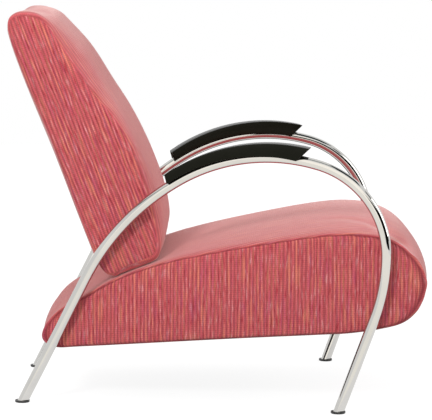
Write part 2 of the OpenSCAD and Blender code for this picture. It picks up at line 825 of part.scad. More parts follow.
function back_point(share) = [share[0] * back_depth, share[1] * back_len];
back_strap_from = back_point(back_strap_from_shares);
back_strap_to = back_point(back_strap_to_shares);
back_timber_rear = back_panel_shares[5][0] * back_depth;
back_timber_floor = 2 * cover_t + fit_gap + back_draw_share * back_crown;

back_panel_points = concat(
  [back_side([back_timber_rear, back_timber_floor]),
    back_side([back_rail_front_shares[0] * back_depth, back_timber_floor])],
  [for (share = back_panel_shares) back_side(back_point(share))]
);

module back_screw_lines(r, from, to) {
  for (i = [0 : len(back_rail_shares) - 1])
    for (share = rail_screw_shares)
      let (
        front = back_rail_front_shares[i] * back_depth,
        p = back_side([
          back_timber_rear + share * (front - back_timber_rear),
          back_timber_floor + back_rail_shares[i] * back_len - back_bottom_share * back_len + rail_t / 2
        ]),
        out = back_half_at(p[0]) - back_panel_inset / cos(back_toe)
      )
      side_view()
        translate([p[0], p[1], out])
          rotate([0, -back_toe, 0]) translate([0, 0, -to]) cylinder(r = r, h = to - from);
}

module back_panel() {
  color([0.78, 0.64, 0.45])
    difference() {
      intersection() {
        across(back_panel_points);
        between(back_half - back_panel_inset / cos(back_toe), back_toe);
        translate([-front_track, -seat_len, 0]) cube([front_track, 2 * seat_len, 2 * seat_len]);
      }
      between(back_half - (back_panel_inset + panel_t) / cos(back_toe), back_toe);
      back_bolt_line(bolt_d / 2 + hole_gap, -front_track / 4, 0);
      back_screw_lines(screw_d / 2 + hole_gap, -over, panel_t + over);
      back_screw_lines(screw_head_d / 2 + hole_gap, -over, screw_head_h + fit_gap);
    }
}

module back_rail(i) {
  low = back_timber_floor + (back_rail_shares[i] - back_bottom_share) * back_len;
  color([0.74, 0.58, 0.38])
    difference() {
      intersection() {
        across(back_box([back_timber_rear, low], [back_rail_front_shares[i] * back_depth, low + rail_t]));
        between(back_half - (back_panel_inset + panel_t) / cos(back_toe), back_toe);
      }
      both_sides() back_screw_lines(screw_d / 2 + stem_gap, -over, screw_len + fit_gap);
    }
}

module back_bottom_rail() back_rail(0);

module back_middle_rail() back_rail(1);

module back_top_rail() back_rail(2);

module back_frame_screws() {
  color([0.75, 0.66, 0.35])
    both_sides() {
      back_screw_lines(screw_d / 2, 0, screw_len);
      back_screw_lines(screw_head_d / 2, 0, screw_head_h);
    }
}

module back_webbing() {
  color([0.16, 0.15, 0.14])
    straps(back_strap_count, back_strap_to, back_strap_from, back_corner, back_lean,
      back_half - back_panel_inset / cos(back_toe), back_toe);
}

module back_soft_holes() {
  $fn = soft_hole_fn;
  both_sides()
    for (point = back_bolt_points)
      on_tube(point, back_toe)
        translate([0, 0, -back_bolt_reach(point) - over])
          cylinder(r = spacer_d / 2 + fit_gap, h = back_bolt_reach(point) + over - tube_r);
}

module back_foam() {
  strap_rise = (webbing_t + fit_gap) * strap_rise_shares;
  color([0.93, 0.88, 0.66])
    difference() {
      back_form(cover_t + fit_gap);
      intersection() {
        union() {
          across(grown(back_panel_points, fit_gap));
          across([for (p = [
            back_strap_from - [over, 0], back_strap_from + strap_rise,
            back_strap_to + strap_rise, back_strap_to - [over, 0]
          ]) back_side(p)]);
          across(back_box(
            [back_timber_rear - fit_gap, -over],
            [back_rail_front_shares[0] * back_depth, back_timber_floor + fit_gap]
          ));
        }
        between(back_half - back_panel_inset / cos(back_toe) + fit_gap, back_toe);
      }
      back_soft_holes();
    }
}

module back_cover() {
  color([0.80, 0.36, 0.40])
    difference() {
      back_form(0);
      back_form(cover_t);
      intersection() {
        across(back_box(
          [back_timber_rear + hem_w / 2, -over],
          [back_rail_front_shares[0] * back_depth - hem_w / 2, cover_t + over]
        ));
        between(back_half - hem_w, back_toe);
      }
      back_soft_holes();
    }
}

module back_bolts() {
  color([0.6, 0.6, 0.62])
    both_sides()
      for (point = back_bolt_points)
        on_tube(point, back_toe) bolt_set(-back_bolt_reach(point) - panel_t - washer_t);
}

module back_washers() {
  color([0.7, 0.7, 0.72])
    both_sides()
      for (point = back_bolt_points)
        on_tube(point, back_toe) washer_ring(-back_bolt_reach(point) - panel_t - washer_t);
}

module back_spacers() {
  color([0.80, 0.81, 0.80])
    both_sides()
      for (point = back_bolt_points)
        difference() {
          on_tube(point, back_toe)
            translate([0, 0, -back_bolt_reach(point)])
              cylinder(r = spacer_d / 2, h = back_bolt_reach(point));
          in_frame() tube_route(tube_r);
          back_bolt_line(bolt_d / 2 + hole_gap, -front_track / 4, over);
        }
}

side_tube();  // side_tube_right
mirror([1, 0, 0]) side_tube();  // side_tube_left
armrest();  // armrest_right
mirror([1, 0, 0]) armrest();  // armrest_left
armrest_screws();
glide_front();  // glide_front_right
mirror([1, 0, 0]) glide_front();  // glide_front_left
glide_rear();  // glide_rear_right
mirror([1, 0, 0]) glide_rear();  // glide_rear_left
tube_bushes();
seat_cover();
seat_foam();
seat_webbing();
seat_dust_cloth();
seat_panel();  // seat_side_panel_right
mirror([1, 0, 0]) seat_panel();  // seat_side_panel_left
seat_front_rail();
seat_middle_rail();
seat_rear_rail();
seat_corner_blocks();
seat_frame_screws();
seat_spacers();
seat_bolts();
seat_washers();
back_cover();
back_foam();
back_webbing();
back_panel();  // back_side_panel_right
mirror([1, 0, 0]) back_panel();  // back_side_panel_left
back_bottom_rail();
back_middle_rail();
back_top_rail();
back_frame_screws();
back_spacers();
back_bolts();
back_washers();
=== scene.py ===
"""Looks of a lounge chair: chromed tube side frames, lacquered armrests and a ribbed cloth seat and back.

All places are in metres in the row frame: +Z up, the chair faces -Y, the floor is at Z 0.
Side views use two numbers: metres forward of the front feet, and metres up.
"""

import json
import logging
import math
from abc import ABC, abstractmethod
from collections.abc import Iterator
from contextlib import contextmanager
from dataclasses import dataclass, field, fields
from enum import Enum

import bpy
import numpy as np
from mathutils import Matrix, Vector

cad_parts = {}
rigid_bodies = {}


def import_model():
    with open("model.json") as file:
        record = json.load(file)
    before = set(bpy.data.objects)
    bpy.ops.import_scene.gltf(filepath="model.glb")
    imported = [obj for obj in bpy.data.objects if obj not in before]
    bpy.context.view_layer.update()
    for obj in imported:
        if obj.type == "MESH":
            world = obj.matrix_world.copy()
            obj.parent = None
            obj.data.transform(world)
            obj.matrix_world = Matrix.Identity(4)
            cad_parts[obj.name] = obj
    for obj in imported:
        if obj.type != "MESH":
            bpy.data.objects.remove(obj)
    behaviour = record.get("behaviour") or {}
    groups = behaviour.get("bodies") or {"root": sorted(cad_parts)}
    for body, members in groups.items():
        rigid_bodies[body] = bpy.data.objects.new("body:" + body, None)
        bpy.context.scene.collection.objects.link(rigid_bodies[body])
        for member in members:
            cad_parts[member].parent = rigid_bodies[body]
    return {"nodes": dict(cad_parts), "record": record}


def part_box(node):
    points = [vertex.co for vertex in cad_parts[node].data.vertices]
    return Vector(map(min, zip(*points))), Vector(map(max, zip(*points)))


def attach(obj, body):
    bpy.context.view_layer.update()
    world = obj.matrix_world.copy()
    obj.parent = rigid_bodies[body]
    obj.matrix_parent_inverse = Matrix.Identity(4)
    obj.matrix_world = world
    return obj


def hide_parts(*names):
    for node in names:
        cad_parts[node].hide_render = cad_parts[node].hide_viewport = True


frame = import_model()

log = logging.getLogger("chair")
FRONT_FOOT_Y = -0.252198
FRONT_HALF_TRACK = 0.3145
REAR_HALF_TRACK = 0.2125
FOOT_STEP = 0.6768
FRAME_TOE = math.asin((FRONT_HALF_TRACK - REAR_HALF_TRACK) / FOOT_STEP)
SEAT_TILT = math.radians(4.9)
BACK_TILT = math.radians(21.2)
QUARTER = math.radians(90)
SMOOTH_BELOW = math.radians(32)
ON_RIM = 0.9999
WHITE = (1.0, 1.0, 1.0)
# The cover as cloth: light and stiff, so that the pressure rounds it and leaves its outline
CLOTH = {
    "quality": 6, "mass": 0.25, "tension_stiffness": 12, "compression_stiffness": 12, "shear_stiffness": 6,
    "bending_stiffness": 0.8, "use_pressure": True, "uniform_pressure_force": 4.0, "shrink_min": -0.006,
    "vertex_group_mass": "held", "pin_stiffness": 0.6,
}
Colour = tuple[float, float, float]
Stretch = tuple[float, float, float]
Link = tuple[bpy.types.Node, str]


class Side(Enum):
    """The two sides of the chair, as the sitter has them, with the sign of their X."""

    RIGHT = -1
    LEFT = 1

    @property
    def word(self) -> str:
        """The side's name in lower case."""
        return self.name.lower()


def activate(piece: bpy.types.Object) -> None:
    """Deselects everything, then selects one object and makes it active.

    Args:
        piece: the object to work on.
    """
    bpy.ops.object.select_all(action="DESELECT")
    piece.select_set(True)
    bpy.context.view_layer.objects.active = piece


def new_piece(name: str) -> bpy.types.Object:
    """Names the object that an add operator has just made.

    Args:
        name: the piece's name.

    Returns:
        The active object, renamed.
    """
    piece = bpy.context.active_object
    piece.name = name
    piece.data.name = name
    return piece


def coordinates(piece: bpy.types.Object) -> np.ndarray:
    """Reads a mesh's vertices.

    Args:
        piece: a mesh object.

    Returns:
        One row of three numbers for each vertex.
    """
    flat = np.zeros(len(piece.data.vertices) * 3)
    piece.data.vertices.foreach_get("co", flat)
    return flat.reshape(-1, 3)


def set_coordinates(piece: bpy.types.Object, points: np.ndarray) -> None:
    """Writes a mesh's vertices, one row of three numbers for each."""
    piece.data.vertices.foreach_set("co", np.asarray(points, float).ravel())
    piece.data.update()


def point_values(piece: bpy.types.Object, word: str) -> np.ndarray:
    """Reads a number kept at each vertex.

    Args:
        piece: a mesh object.
        word: the attribute's name.

    Returns:
        One number for each vertex.
    """
    values = np.zeros(len(piece.data.vertices), np.float32)
    piece.data.attributes[word].data.foreach_get("value", values)
    return values


def keep_point_values(piece: bpy.types.Object, word: str, values: np.ndarray) -> None:
    """Keeps a number at each vertex, under the attribute's name."""
    kept = piece.data.attributes.get(word) or piece.data.attributes.new(word, "FLOAT", "POINT")
    kept.data.foreach_set("value", values.astype(np.float32))


@contextmanager
def editing(kind: str = "VERT", chosen: list[bool] | np.ndarray | None = None) -> Iterator[None]:
    """Edits the active mesh with all of it selected, or only some of its vertices or faces.

    Args:
        kind: what is selected, VERT, EDGE or FACE.
        chosen: one true or false value for each vertex or face, or none for all.

    Yields:
        Nothing, in edit mode.
    """
    bpy.ops.object.mode_set(mode="EDIT")
    bpy.ops.mesh.select_mode(type=kind)
    bpy.ops.mesh.select_all(action="SELECT" if chosen is None else "DESELECT")
    if chosen is not None:
        bpy.ops.object.mode_set(mode="OBJECT")
        mesh = bpy.context.active_object.data
        items = mesh.polygons if kind == "FACE" else mesh.vertices
        items.foreach_set("select", np.asarray(chosen, bool))
        bpy.ops.object.mode_set(mode="EDIT")
    yield
    bpy.ops.object.mode_set(mode="OBJECT")


def modify(piece: bpy.types.Object, kind: str, **settings: object) -> None:
    """Adds a modifier and applies it.

    Args:
        piece: the active object.
        kind: the modifier's type, such as SOLIDIFY.
        **settings: the modifier's own properties.
    """
    modifier = piece.modifiers.new(kind.lower(), kind)
    for key, value in settings.items():
        setattr(modifier, key, value)
    bpy.ops.object.modifier_apply(modifier=modifier.name)


def face_out(piece: bpy.types.Object) -> None:
    """Turns all faces outwards.

    Args:
        piece: a closed form.
    """
    activate(piece)
    with editing():
        bpy.ops.mesh.normals_make_consistent(inside=False)


def in_frame(side: Side, reach: np.ndarray, across: np.ndarray, up: np.ndarray) -> np.ndarray:
    """Turns places in the plane of a side frame into the row frame.

    Args:
        side: which side frame.
        reach: metres along the frame's plane from the front foot, forwards.
        across: metres square to that plane, outwards.
        up: metres above the floor.

    Returns:
        One row of three numbers for each place.
    """
    c, s = math.cos(FRAME_TOE), math.sin(FRAME_TOE)
    out = FRONT_HALF_TRACK + reach * s + across * c
    forward = reach * c - across * s
    return np.stack([side.value * out, FRONT_FOOT_Y - forward, up], 1)


def cut(piece: bpy.types.Object, cutter: bpy.types.Object) -> None:
    """Takes one closed form out of another, and removes the cutter.

    Args:
        piece: the form that is cut.
        cutter: the form that is taken out.
    """
    activate(piece)
    modify(piece, "BOOLEAN", operation="DIFFERENCE", solver="EXACT", object=cutter)
    bpy.data.objects.remove(cutter)


def fixing_cutter(node: str, filled: bool) -> bpy.types.Object:
    """Copies the fixings of a CAD node as one closed form to cut holes with.

    Args:
        node: the node's name.
        filled: whether each fixing's own bore is filled first.

    Returns:
        The cutter.
    """
    name = f"{node}_cutter"
    cutter = bpy.data.objects.new(name, frame["nodes"][node].data.copy())
    bpy.context.scene.collection.objects.link(cutter)
    activate(cutter)
    with editing():
        bpy.ops.mesh.remove_doubles(threshold=1e-6)
        if filled:
            bpy.ops.mesh.separate(type="LOOSE")
    if filled:
        for part in list(bpy.context.selected_objects):
            activate(part)
            with editing():
                bpy.ops.mesh.convex_hull()
        for part in bpy.data.objects:
            part.select_set(part.name.startswith(name))
        bpy.ops.object.join()
    return bpy.context.active_object


def dress(piece: bpy.types.Object, material: bpy.types.Material) -> None:
    """Gives a whole piece one material."""
    piece.data.materials.clear()
    piece.data.materials.append(material)


class Graph:
    """The nodes of one material or world, added and linked from plain calls."""

    def __init__(self, owner: bpy.types.Material | bpy.types.World) -> None:
        """Opens the nodes of a new material or world.

        Args:
            owner: what the nodes belong to.
        """
        owner.use_nodes = True
        self.owner = owner
        self.tree = owner.node_tree
        self.shader = self.tree.nodes.get("Principled BSDF")

    def add(self, kind: str, inputs: dict[str | int, object] | None = None, **settings: object) -> bpy.types.Node:
        """Adds a node.

        Args:
            kind: the node's type without its ShaderNode prefix.
            inputs: a value or a link for each named or numbered input.
            **settings: the node's own properties.

        Returns:
            The new node.
        """
        node = self.tree.nodes.new("ShaderNode" + kind)
        for key, value in settings.items():
            setattr(node, key, value)
        self.feed(node, inputs or {})
        return node

    def feed(self, node: bpy.types.Node, inputs: dict[str | int, object]) -> None:
        """Sets or links inputs of a node.

        Args:
            node: the node to feed.
            inputs: a value or a link for each named or numbered input.
        """
        for key, value in inputs.items():
            socket = node.inputs[key]
            if isinstance(value, tuple) and isinstance(value[0], bpy.types.Node):
                self.tree.links.new(value[0].outputs[value[1]], socket)
            elif isinstance(value, tuple) and len(value) == 3 and socket.type == "RGBA":
                socket.default_value = (*value, 1.0)
            else:
                socket.default_value = value

    def maths(self, operation: str, first: object, second: object = 0.0, third: object = 0.0) -> Link:
        """Adds an operation, such as MULTIPLY, on two or three numbers or links, and gives its result."""
        return (self.add("Math", {0: first, 1: second, 2: third}, operation=operation), "Value")

    def noise(self, vector: Link, scale: float, detail: float = 2.0, roughness: float = 0.5) -> Link:
        """Adds a noise pattern from 0 to 1, with so many features in a unit and so many finer layers."""
        inputs = {"Vector": vector, "Scale": scale, "Detail": detail, "Roughness": roughness}
        return (self.add("TexNoise", inputs), "Fac")

    def ramp(self, value: Link, stops: list[tuple[float, Colour]]) -> Link:
        """Adds a colour ramp.

        Args:
            value: the number that picks the colour.
            stops: places from 0 to 1, each with its colour.

        Returns:
            The colour's link.
        """
        node = self.add("ValToRGB", {"Fac": value})
        elements = node.color_ramp.elements
        while len(elements) < len(stops):
            elements.new(0.5)
        for element, (place, colour) in zip(elements, stops):
            element.position = place
            element.color = (*colour, 1.0)
        return (node, "Color")

    def mix(self, fac: object, first: object, second: object, blend: str = "MIX") -> Link:
        """Adds a mix of two colours.

        Args:
            fac: the share of the second colour, a number or a link.
            first: the first colour or link.
            second: the second colour or link.
            blend: the way of mixing.

        Returns:
            The colour's link.
        """
        node = self.add("Mix", data_type="RGBA", blend_type=blend)
        self.feed(node, {0: fac, 6: first, 7: second})
        return (node, 2)

    def bump(self, height: Link, distance: float, strength: float = 1.0) -> Link:
        """Adds relief from a height's link, where a height of 1 stands for the distance in metres."""
        node = self.add("Bump", {"Height": height, "Distance": distance, "Strength": strength})
        return (node, "Normal")

    def tone(self, value: Link, low: float, high: float) -> Link:
        """Adds a number that goes from low to high as a pattern goes from 0 to 1."""
        return (self.add("MapRange", {"Value": value, "To Min": low, "To Max": high}), "Result")

    def seen(self) -> Link:
        """Adds a number that is 1 for rays from the camera, from a gloss or through glass.

        Returns:
            The number's link.
        """
        rays = self.add("LightPath")
        direct = self.maths("ADD", (rays, "Is Camera Ray"), (rays, "Is Glossy Ray"))
        return self.maths("ADD", direct, (rays, "Is Transmission Ray"))

    def place(self, stretch: Stretch = (1.0, 1.0, 1.0)) -> Link:
        """Adds the object's own coordinates, stretched.

        Args:
            stretch: the scale along each axis.

        Returns:
            The coordinates' link.
        """
        source = self.add("TexCoord")
        mapping = self.add("Mapping", {"Vector": (source, "Object"), "Scale": stretch})
        return (mapping, "Vector")


@dataclass(frozen=True)
class Finish(ABC):
    """A procedural finish that bears its slot's name."""

    name: str

    @abstractmethod
    def paint(self, g: Graph) -> None:
        """Adds the finish's nodes to its material's."""

    def material(self) -> bpy.types.Material:
        """Builds the material.

        Returns:
            The material.
        """
        g = Graph(bpy.data.materials.new(self.name))
        self.paint(g)
        return g.owner


@dataclass(frozen=True)
class RibbedCloth(Finish):
    """Woven pinkish red upholstery cloth with uneven ribs, laid along the weave UV map in metres."""

    name: str = "ribbed_cloth"
    deep: Colour = (0.43, 0.036, 0.052)
    main: Colour = (0.60, 0.105, 0.118)
    pale: Colour = (0.76, 0.310, 0.320)
    orange: Colour = (0.76, 0.230, 0.150)
    magenta: Colour = (0.53, 0.085, 0.160)
    # painted sheen: a paler, flat colour for the band, standing in for the sheen of the top and front seen at a
    # grazing angle
    top: Colour = (0.60, 0.130, 0.132)
    # painted shade: the dark colour drawn along the sunk side seams
    seam: Colour = (0.22, 0.020, 0.030)
    sheen_tint: Colour = (1.0, 0.86, 0.82)
    rib_pitch: float = 0.0079
    pick_pitch: float = 0.0042
    relief: float = 0.0011
    flat_share: float = 0.45
    drift_features: Stretch = (32.0, 1.6, 1.0)
    drift_turn: float = 11.0
    streak_features: Stretch = (290.0, 30.0, 1.0)
    tint_features: Stretch = (200.0, 12.0, 1.0)
    yarn_features: Stretch = (520.0, 300.0, 1.0)

    def paint(self, g: Graph) -> None:
        """Adds the cloth's nodes.

        Args:
            g: the material's nodes.
        """
        uv = g.add("UVMap", uv_map="weave")
        parts = g.add("SeparateXYZ", {0: (uv, "UV")})
        across, along = (parts, "X"), (parts, "Y")
        wander = g.maths("MULTIPLY", self.threads(g, uv, self.drift_features), self.drift_turn)
        rib_angle = g.maths("MULTIPLY_ADD", across, 2 * math.pi / self.rib_pitch, wander)
        rib = g.maths("MULTIPLY_ADD", g.maths("SINE", rib_angle), 0.5, 0.5)
        pick_angle = g.maths("MULTIPLY_ADD", along, 2 * math.pi / self.pick_pitch, wander)
        pick = g.maths("MULTIPLY_ADD", g.maths("SINE", pick_angle), 0.5, 0.5)
        streak = self.threads(g, uv, self.streak_features, 3.0)
        tint = self.threads(g, uv, self.tint_features)
        yarn = self.threads(g, uv, self.yarn_features)
        colour = g.ramp(streak, [(0.32, self.deep), (0.45, self.main), (0.56, self.main), (0.72, self.pale)])
        warm = g.ramp(tint, [(0.53, (0.0, 0.0, 0.0)), (0.66, (0.7, 0.7, 0.7))])
        cool = g.ramp(tint, [(0.32, (0.6, 0.6, 0.6)), (0.44, (0.0, 0.0, 0.0))])
        colour = g.mix(warm, colour, self.orange)
        colour = g.mix(cool, colour, self.magenta)
        # painted shade in the valleys between ribs and picks, times the yarns' own random tone
        rib_shade_and_yarn_tone = g.maths("MULTIPLY_ADD", rib, 0.46, 0.78)
        rib_shade_and_yarn_tone = g.maths("MULTIPLY", rib_shade_and_yarn_tone, g.maths("MULTIPLY_ADD", pick, 0.20, 0.90))
        rib_shade_and_yarn_tone = g.maths("MULTIPLY", rib_shade_and_yarn_tone, g.maths("MULTIPLY_ADD", yarn, 0.60, 0.70))
        colour = g.mix(1.0, colour, rib_shade_and_yarn_tone, "MULTIPLY")
        band = g.add("Attribute", attribute_name="band")
        # painted sheen: the band is mixed towards the flat top colour, which stands in for sheen at a grazing angle;
        # the same share also flattens its relief
        colour = g.mix(g.maths("MULTIPLY", (band, "Fac"), self.flat_share), colour, self.top)
        # painted shade along the sunk seam line
        edge = g.add("Attribute", attribute_name="seam")
        colour = g.mix((edge, "Fac"), colour, self.seam)
        height = g.maths("ADD", g.maths("MULTIPLY", rib, 0.6), g.maths("MULTIPLY", pick, 0.2))
        height = g.maths("MULTIPLY_ADD", yarn, 0.4, height)
        height = g.maths("MULTIPLY", height, g.maths("MULTIPLY_ADD", (band, "Fac"), -self.flat_share, 1.0))
        g.feed(g.shader, {
            "Base Color": colour, "Roughness": 0.92, "Specular IOR Level": 0.15,
            "Sheen Weight": 0.70, "Sheen Roughness": 0.45, "Sheen Tint": self.sheen_tint,
            "Normal": g.bump(height, self.relief),
        })

    @staticmethod
    def threads(g: Graph, uv: bpy.types.Node, stretch: Stretch, detail: float = 2.0) -> Link:
        """Adds noise drawn out along the threads: features in a metre across and along the ribs."""
        mapping = g.add("Mapping", {"Vector": (uv, "UV"), "Scale": stretch})
        return g.noise((mapping, "Vector"), 1.0, detail, 0.55)


@dataclass(frozen=True)
class Chrome(Finish):
    """Polished chrome on bent tube, with faint rubbed patches."""

    name: str = "chrome_tube"
    colour: Colour = (0.60, 0.592, 0.570)

    def paint(self, g: Graph) -> None:
        """Adds the chrome's nodes.

        Args:
            g: the material's nodes.
        """
        patches = g.noise(g.place(), 18.0, 3.0)
        tone = g.ramp(patches, [(0.35, self.colour), (0.75, tuple(0.93 * c for c in self.colour))])
        rub = g.add("MapRange", {
            "Value": patches, "From Min": 0.3, "From Max": 0.8, "To Min": 0.02, "To Max": 0.06,
        })
        g.feed(g.shader, {"Base Color": tone, "Metallic": 1.0, "Roughness": (rub, "Result")})


@dataclass(frozen=True)
class Lacquer(Finish):
    """Near-black gloss lacquer over wood, with the grain just showing in the gloss."""

    name: str = "lacquered_wood"
    colour: Colour = (0.005, 0.0055, 0.0024)
    worn: Colour = (0.013, 0.013, 0.008)

    def paint(self, g: Graph) -> None:
        """Adds the lacquer's nodes.

        Args:
            g: the material's nodes.
        """
        grain = g.noise(g.place((420.0, 22.0, 160.0)), 1.0, 3.0)
        cloud = g.noise(g.place(), 14.0, 2.0)
        tone = g.mix(g.maths("MULTIPLY", grain, cloud), self.colour, self.worn)
        g.feed(g.shader, {
            "Base Color": tone, "Roughness": g.tone(cloud, 0.20, 0.34), "Specular IOR Level": 0.08,
            "Normal": g.bump(grain, 0.00012, 0.5),
        })


@dataclass(frozen=True)
class Metal(Finish):
    """Plain satin steel of bolts, washers, screws and bushes, with drawn lines."""

    name: str = "steel_fixing"
    colour: Colour = (0.56, 0.56, 0.57)

    def paint(self, g: Graph) -> None:
        """Adds the steel's nodes.

        Args:
            g: the material's nodes.
        """
        lines = g.noise(g.place((30.0, 900.0, 900.0)), 1.0, 2.0)
        tone = g.ramp(lines, [(0.3, tuple(0.8 * c for c in self.colour)), (0.7, self.colour)])
        g.feed(g.shader, {
            "Base Color": tone, "Metallic": 1.0, "Roughness": g.tone(lines, 0.24, 0.42),
            "Normal": g.bump(lines, 0.00003, 0.5),
        })


@dataclass(frozen=True)
class Moulded(Finish):
    """Moulded black plastic with a fine eggshell surface."""

    name: str = "black_plastic"
    colour: Colour = (0.016, 0.016, 0.016)

    def paint(self, g: Graph) -> None:
        """Adds the plastic's nodes.

        Args:
            g: the material's nodes.
        """
        pits = g.noise(g.place(), 1400.0, 2.0)
        dust = g.noise(g.place(), 60.0, 3.0)
        tone = g.ramp(dust, [(0.4, self.colour), (0.8, (0.045, 0.044, 0.042))])
        g.feed(g.shader, {
            "Base Color": tone, "Roughness": g.tone(dust, 0.35, 0.55), "Normal": g.bump(pits, 0.00008, 0.6),
        })


@dataclass(frozen=True)
class Timber(Finish):
    """Sawn wood or the veneers of plywood, with grain along one axis."""

    pale: Colour
    dark: Colour
    stretch: Stretch

    def paint(self, g: Graph) -> None:
        """Adds the wood's nodes.

        Args:
            g: the material's nodes.
        """
        grain = g.noise(g.place(self.stretch), 1.0, 4.0, 0.6)
        figure = g.noise(g.place(tuple(0.12 * s for s in self.stretch)), 1.0, 2.0)
        tone = g.ramp(grain, [(0.35, self.dark), (0.62, self.pale)])
        tone = g.mix(g.maths("MULTIPLY", figure, 0.5), tone, self.dark)
        g.feed(g.shader, {"Base Color": tone, "Roughness": 0.75, "Normal": g.bump(grain, 0.0003, 0.6)})


@dataclass(frozen=True)
class PlainWeave(Finish):
    """Flat woven stuff: the webbing straps and the dust cloth under the seat."""

    colour: Colour
    lit: Colour
    pitch: float
    relief: float

    def paint(self, g: Graph) -> None:
        """Adds the weave's nodes.

        Args:
            g: the material's nodes.
        """
        parts = g.add("SeparateXYZ", {0: g.place()})
        turn = 2 * math.pi / self.pitch
        warp = g.maths("SINE", g.maths("MULTIPLY", (parts, "X"), turn))
        weft = g.maths("SINE", g.maths("MULTIPLY", (parts, "Y"), turn))
        check = g.maths("MULTIPLY_ADD", g.maths("MULTIPLY", warp, weft), 0.5, 0.5)
        fuzz = g.noise(g.place(), 240.0, 2.0)
        tone = g.mix(g.maths("MULTIPLY", check, fuzz), self.colour, self.lit)
        g.feed(g.shader, {
            "Base Color": tone, "Roughness": 0.9, "Sheen Weight": 0.15, "Normal": g.bump(check, self.relief, 0.8),
        })


@dataclass(frozen=True)
class Foam(Finish):
    """Cut yellow seat foam with open cells."""

    name: str = "foam"
    colour: Colour = (0.80, 0.68, 0.38)

    def paint(self, g: Graph) -> None:
        """Adds the foam's nodes.

        Args:
            g: the material's nodes.
        """
        cells = g.add("TexVoronoi", {"Vector": g.place(), "Scale": 420.0})
        # painted shade: the open cells' pits are darker
        tone = g.ramp((cells, "Distance"), [(0.0, tuple(0.6 * c for c in self.colour)), (0.5, self.colour)])
        g.feed(g.shader, {"Base Color": tone, "Roughness": 0.95, "Normal": g.bump((cells, "Distance"), 0.001, 0.6)})


@dataclass(frozen=True)
class Palette:
    """Every finish of the chair, by the record's slot name."""

    cloth: RibbedCloth = RibbedCloth()
    chrome: Chrome = Chrome()
    lacquer: Lacquer = Lacquer()
    steel: Metal = Metal()
    plastic: Moulded = Moulded()
    foam: Foam = Foam()
    plywood: Timber = Timber("plywood", (0.60, 0.42, 0.24), (0.42, 0.27, 0.13), (300.0, 8.0, 60.0))
    softwood: Timber = Timber("softwood", (0.66, 0.48, 0.28), (0.46, 0.29, 0.13), (8.0, 120.0, 120.0))
    webbing: PlainWeave = PlainWeave("webbing", (0.016, 0.016, 0.016), (0.05, 0.05, 0.048), 0.0042, 0.0005)
    dust_cloth: PlainWeave = PlainWeave("dust_cloth", (0.012, 0.012, 0.013), (0.035, 0.035, 0.036), 0.0016, 0.0002)

    def materials(self) -> dict[str, bpy.types.Material]:
        """Builds each finish once.

        Returns:
            The materials by slot name.
        """
        finishes = [getattr(self, kept.name) for kept in fields(self)]
        return {finish.name: finish.material() for finish in finishes}


@dataclass
class Knots:
    """A closed outline: share of the length, share of the height, share of the crown at mid width."""

    shares: list[tuple[float, float, float]]
    steps: int = 8

    def curve(self, length: float, height: float, crown: float) -> np.ndarray:
        """Draws a smooth closed curve through the knots.

        Args:
            length: metres that a length share of 1 stands for.
            height: metres that a height share of 1 stands for.
            crown: metres that a crown share of 1 stands for.

        Returns:
            One row for each point: along, up and crown, in metres.
        """
        knots = np.array(self.shares) * [length, height, crown]
        before, after = np.roll(knots, 1, 0), np.roll(knots, -1, 0)
        chord = after - before
        heading = chord / np.linalg.norm(chord[:, :2], axis=1)[:, None]
        points = []
        for i in range(len(knots)):
            a, b = knots[i], after[i]
            gap = np.linalg.norm((b - a)[:2])
            da, db = gap * heading[i], gap * heading[(i + 1) % len(knots)]
            for t in np.arange(self.steps) / self.steps:
                points.append(
                    (2 * t**3 - 3 * t**2 + 1) * a + (t**3 - 2 * t**2 + t) * da
                    + (3 * t**2 - 2 * t**3) * b + (t**3 - t**2) * db
                )
        return np.array(points)


@dataclass(frozen=True)
class Fold:
    """A shallow fold beside each side seam: its first and last knot, its places across, and its form."""

    first: float
    last: float
    start: float
    end: float
    depth: float
    width: float = 0.045
    fade: float = 0.35


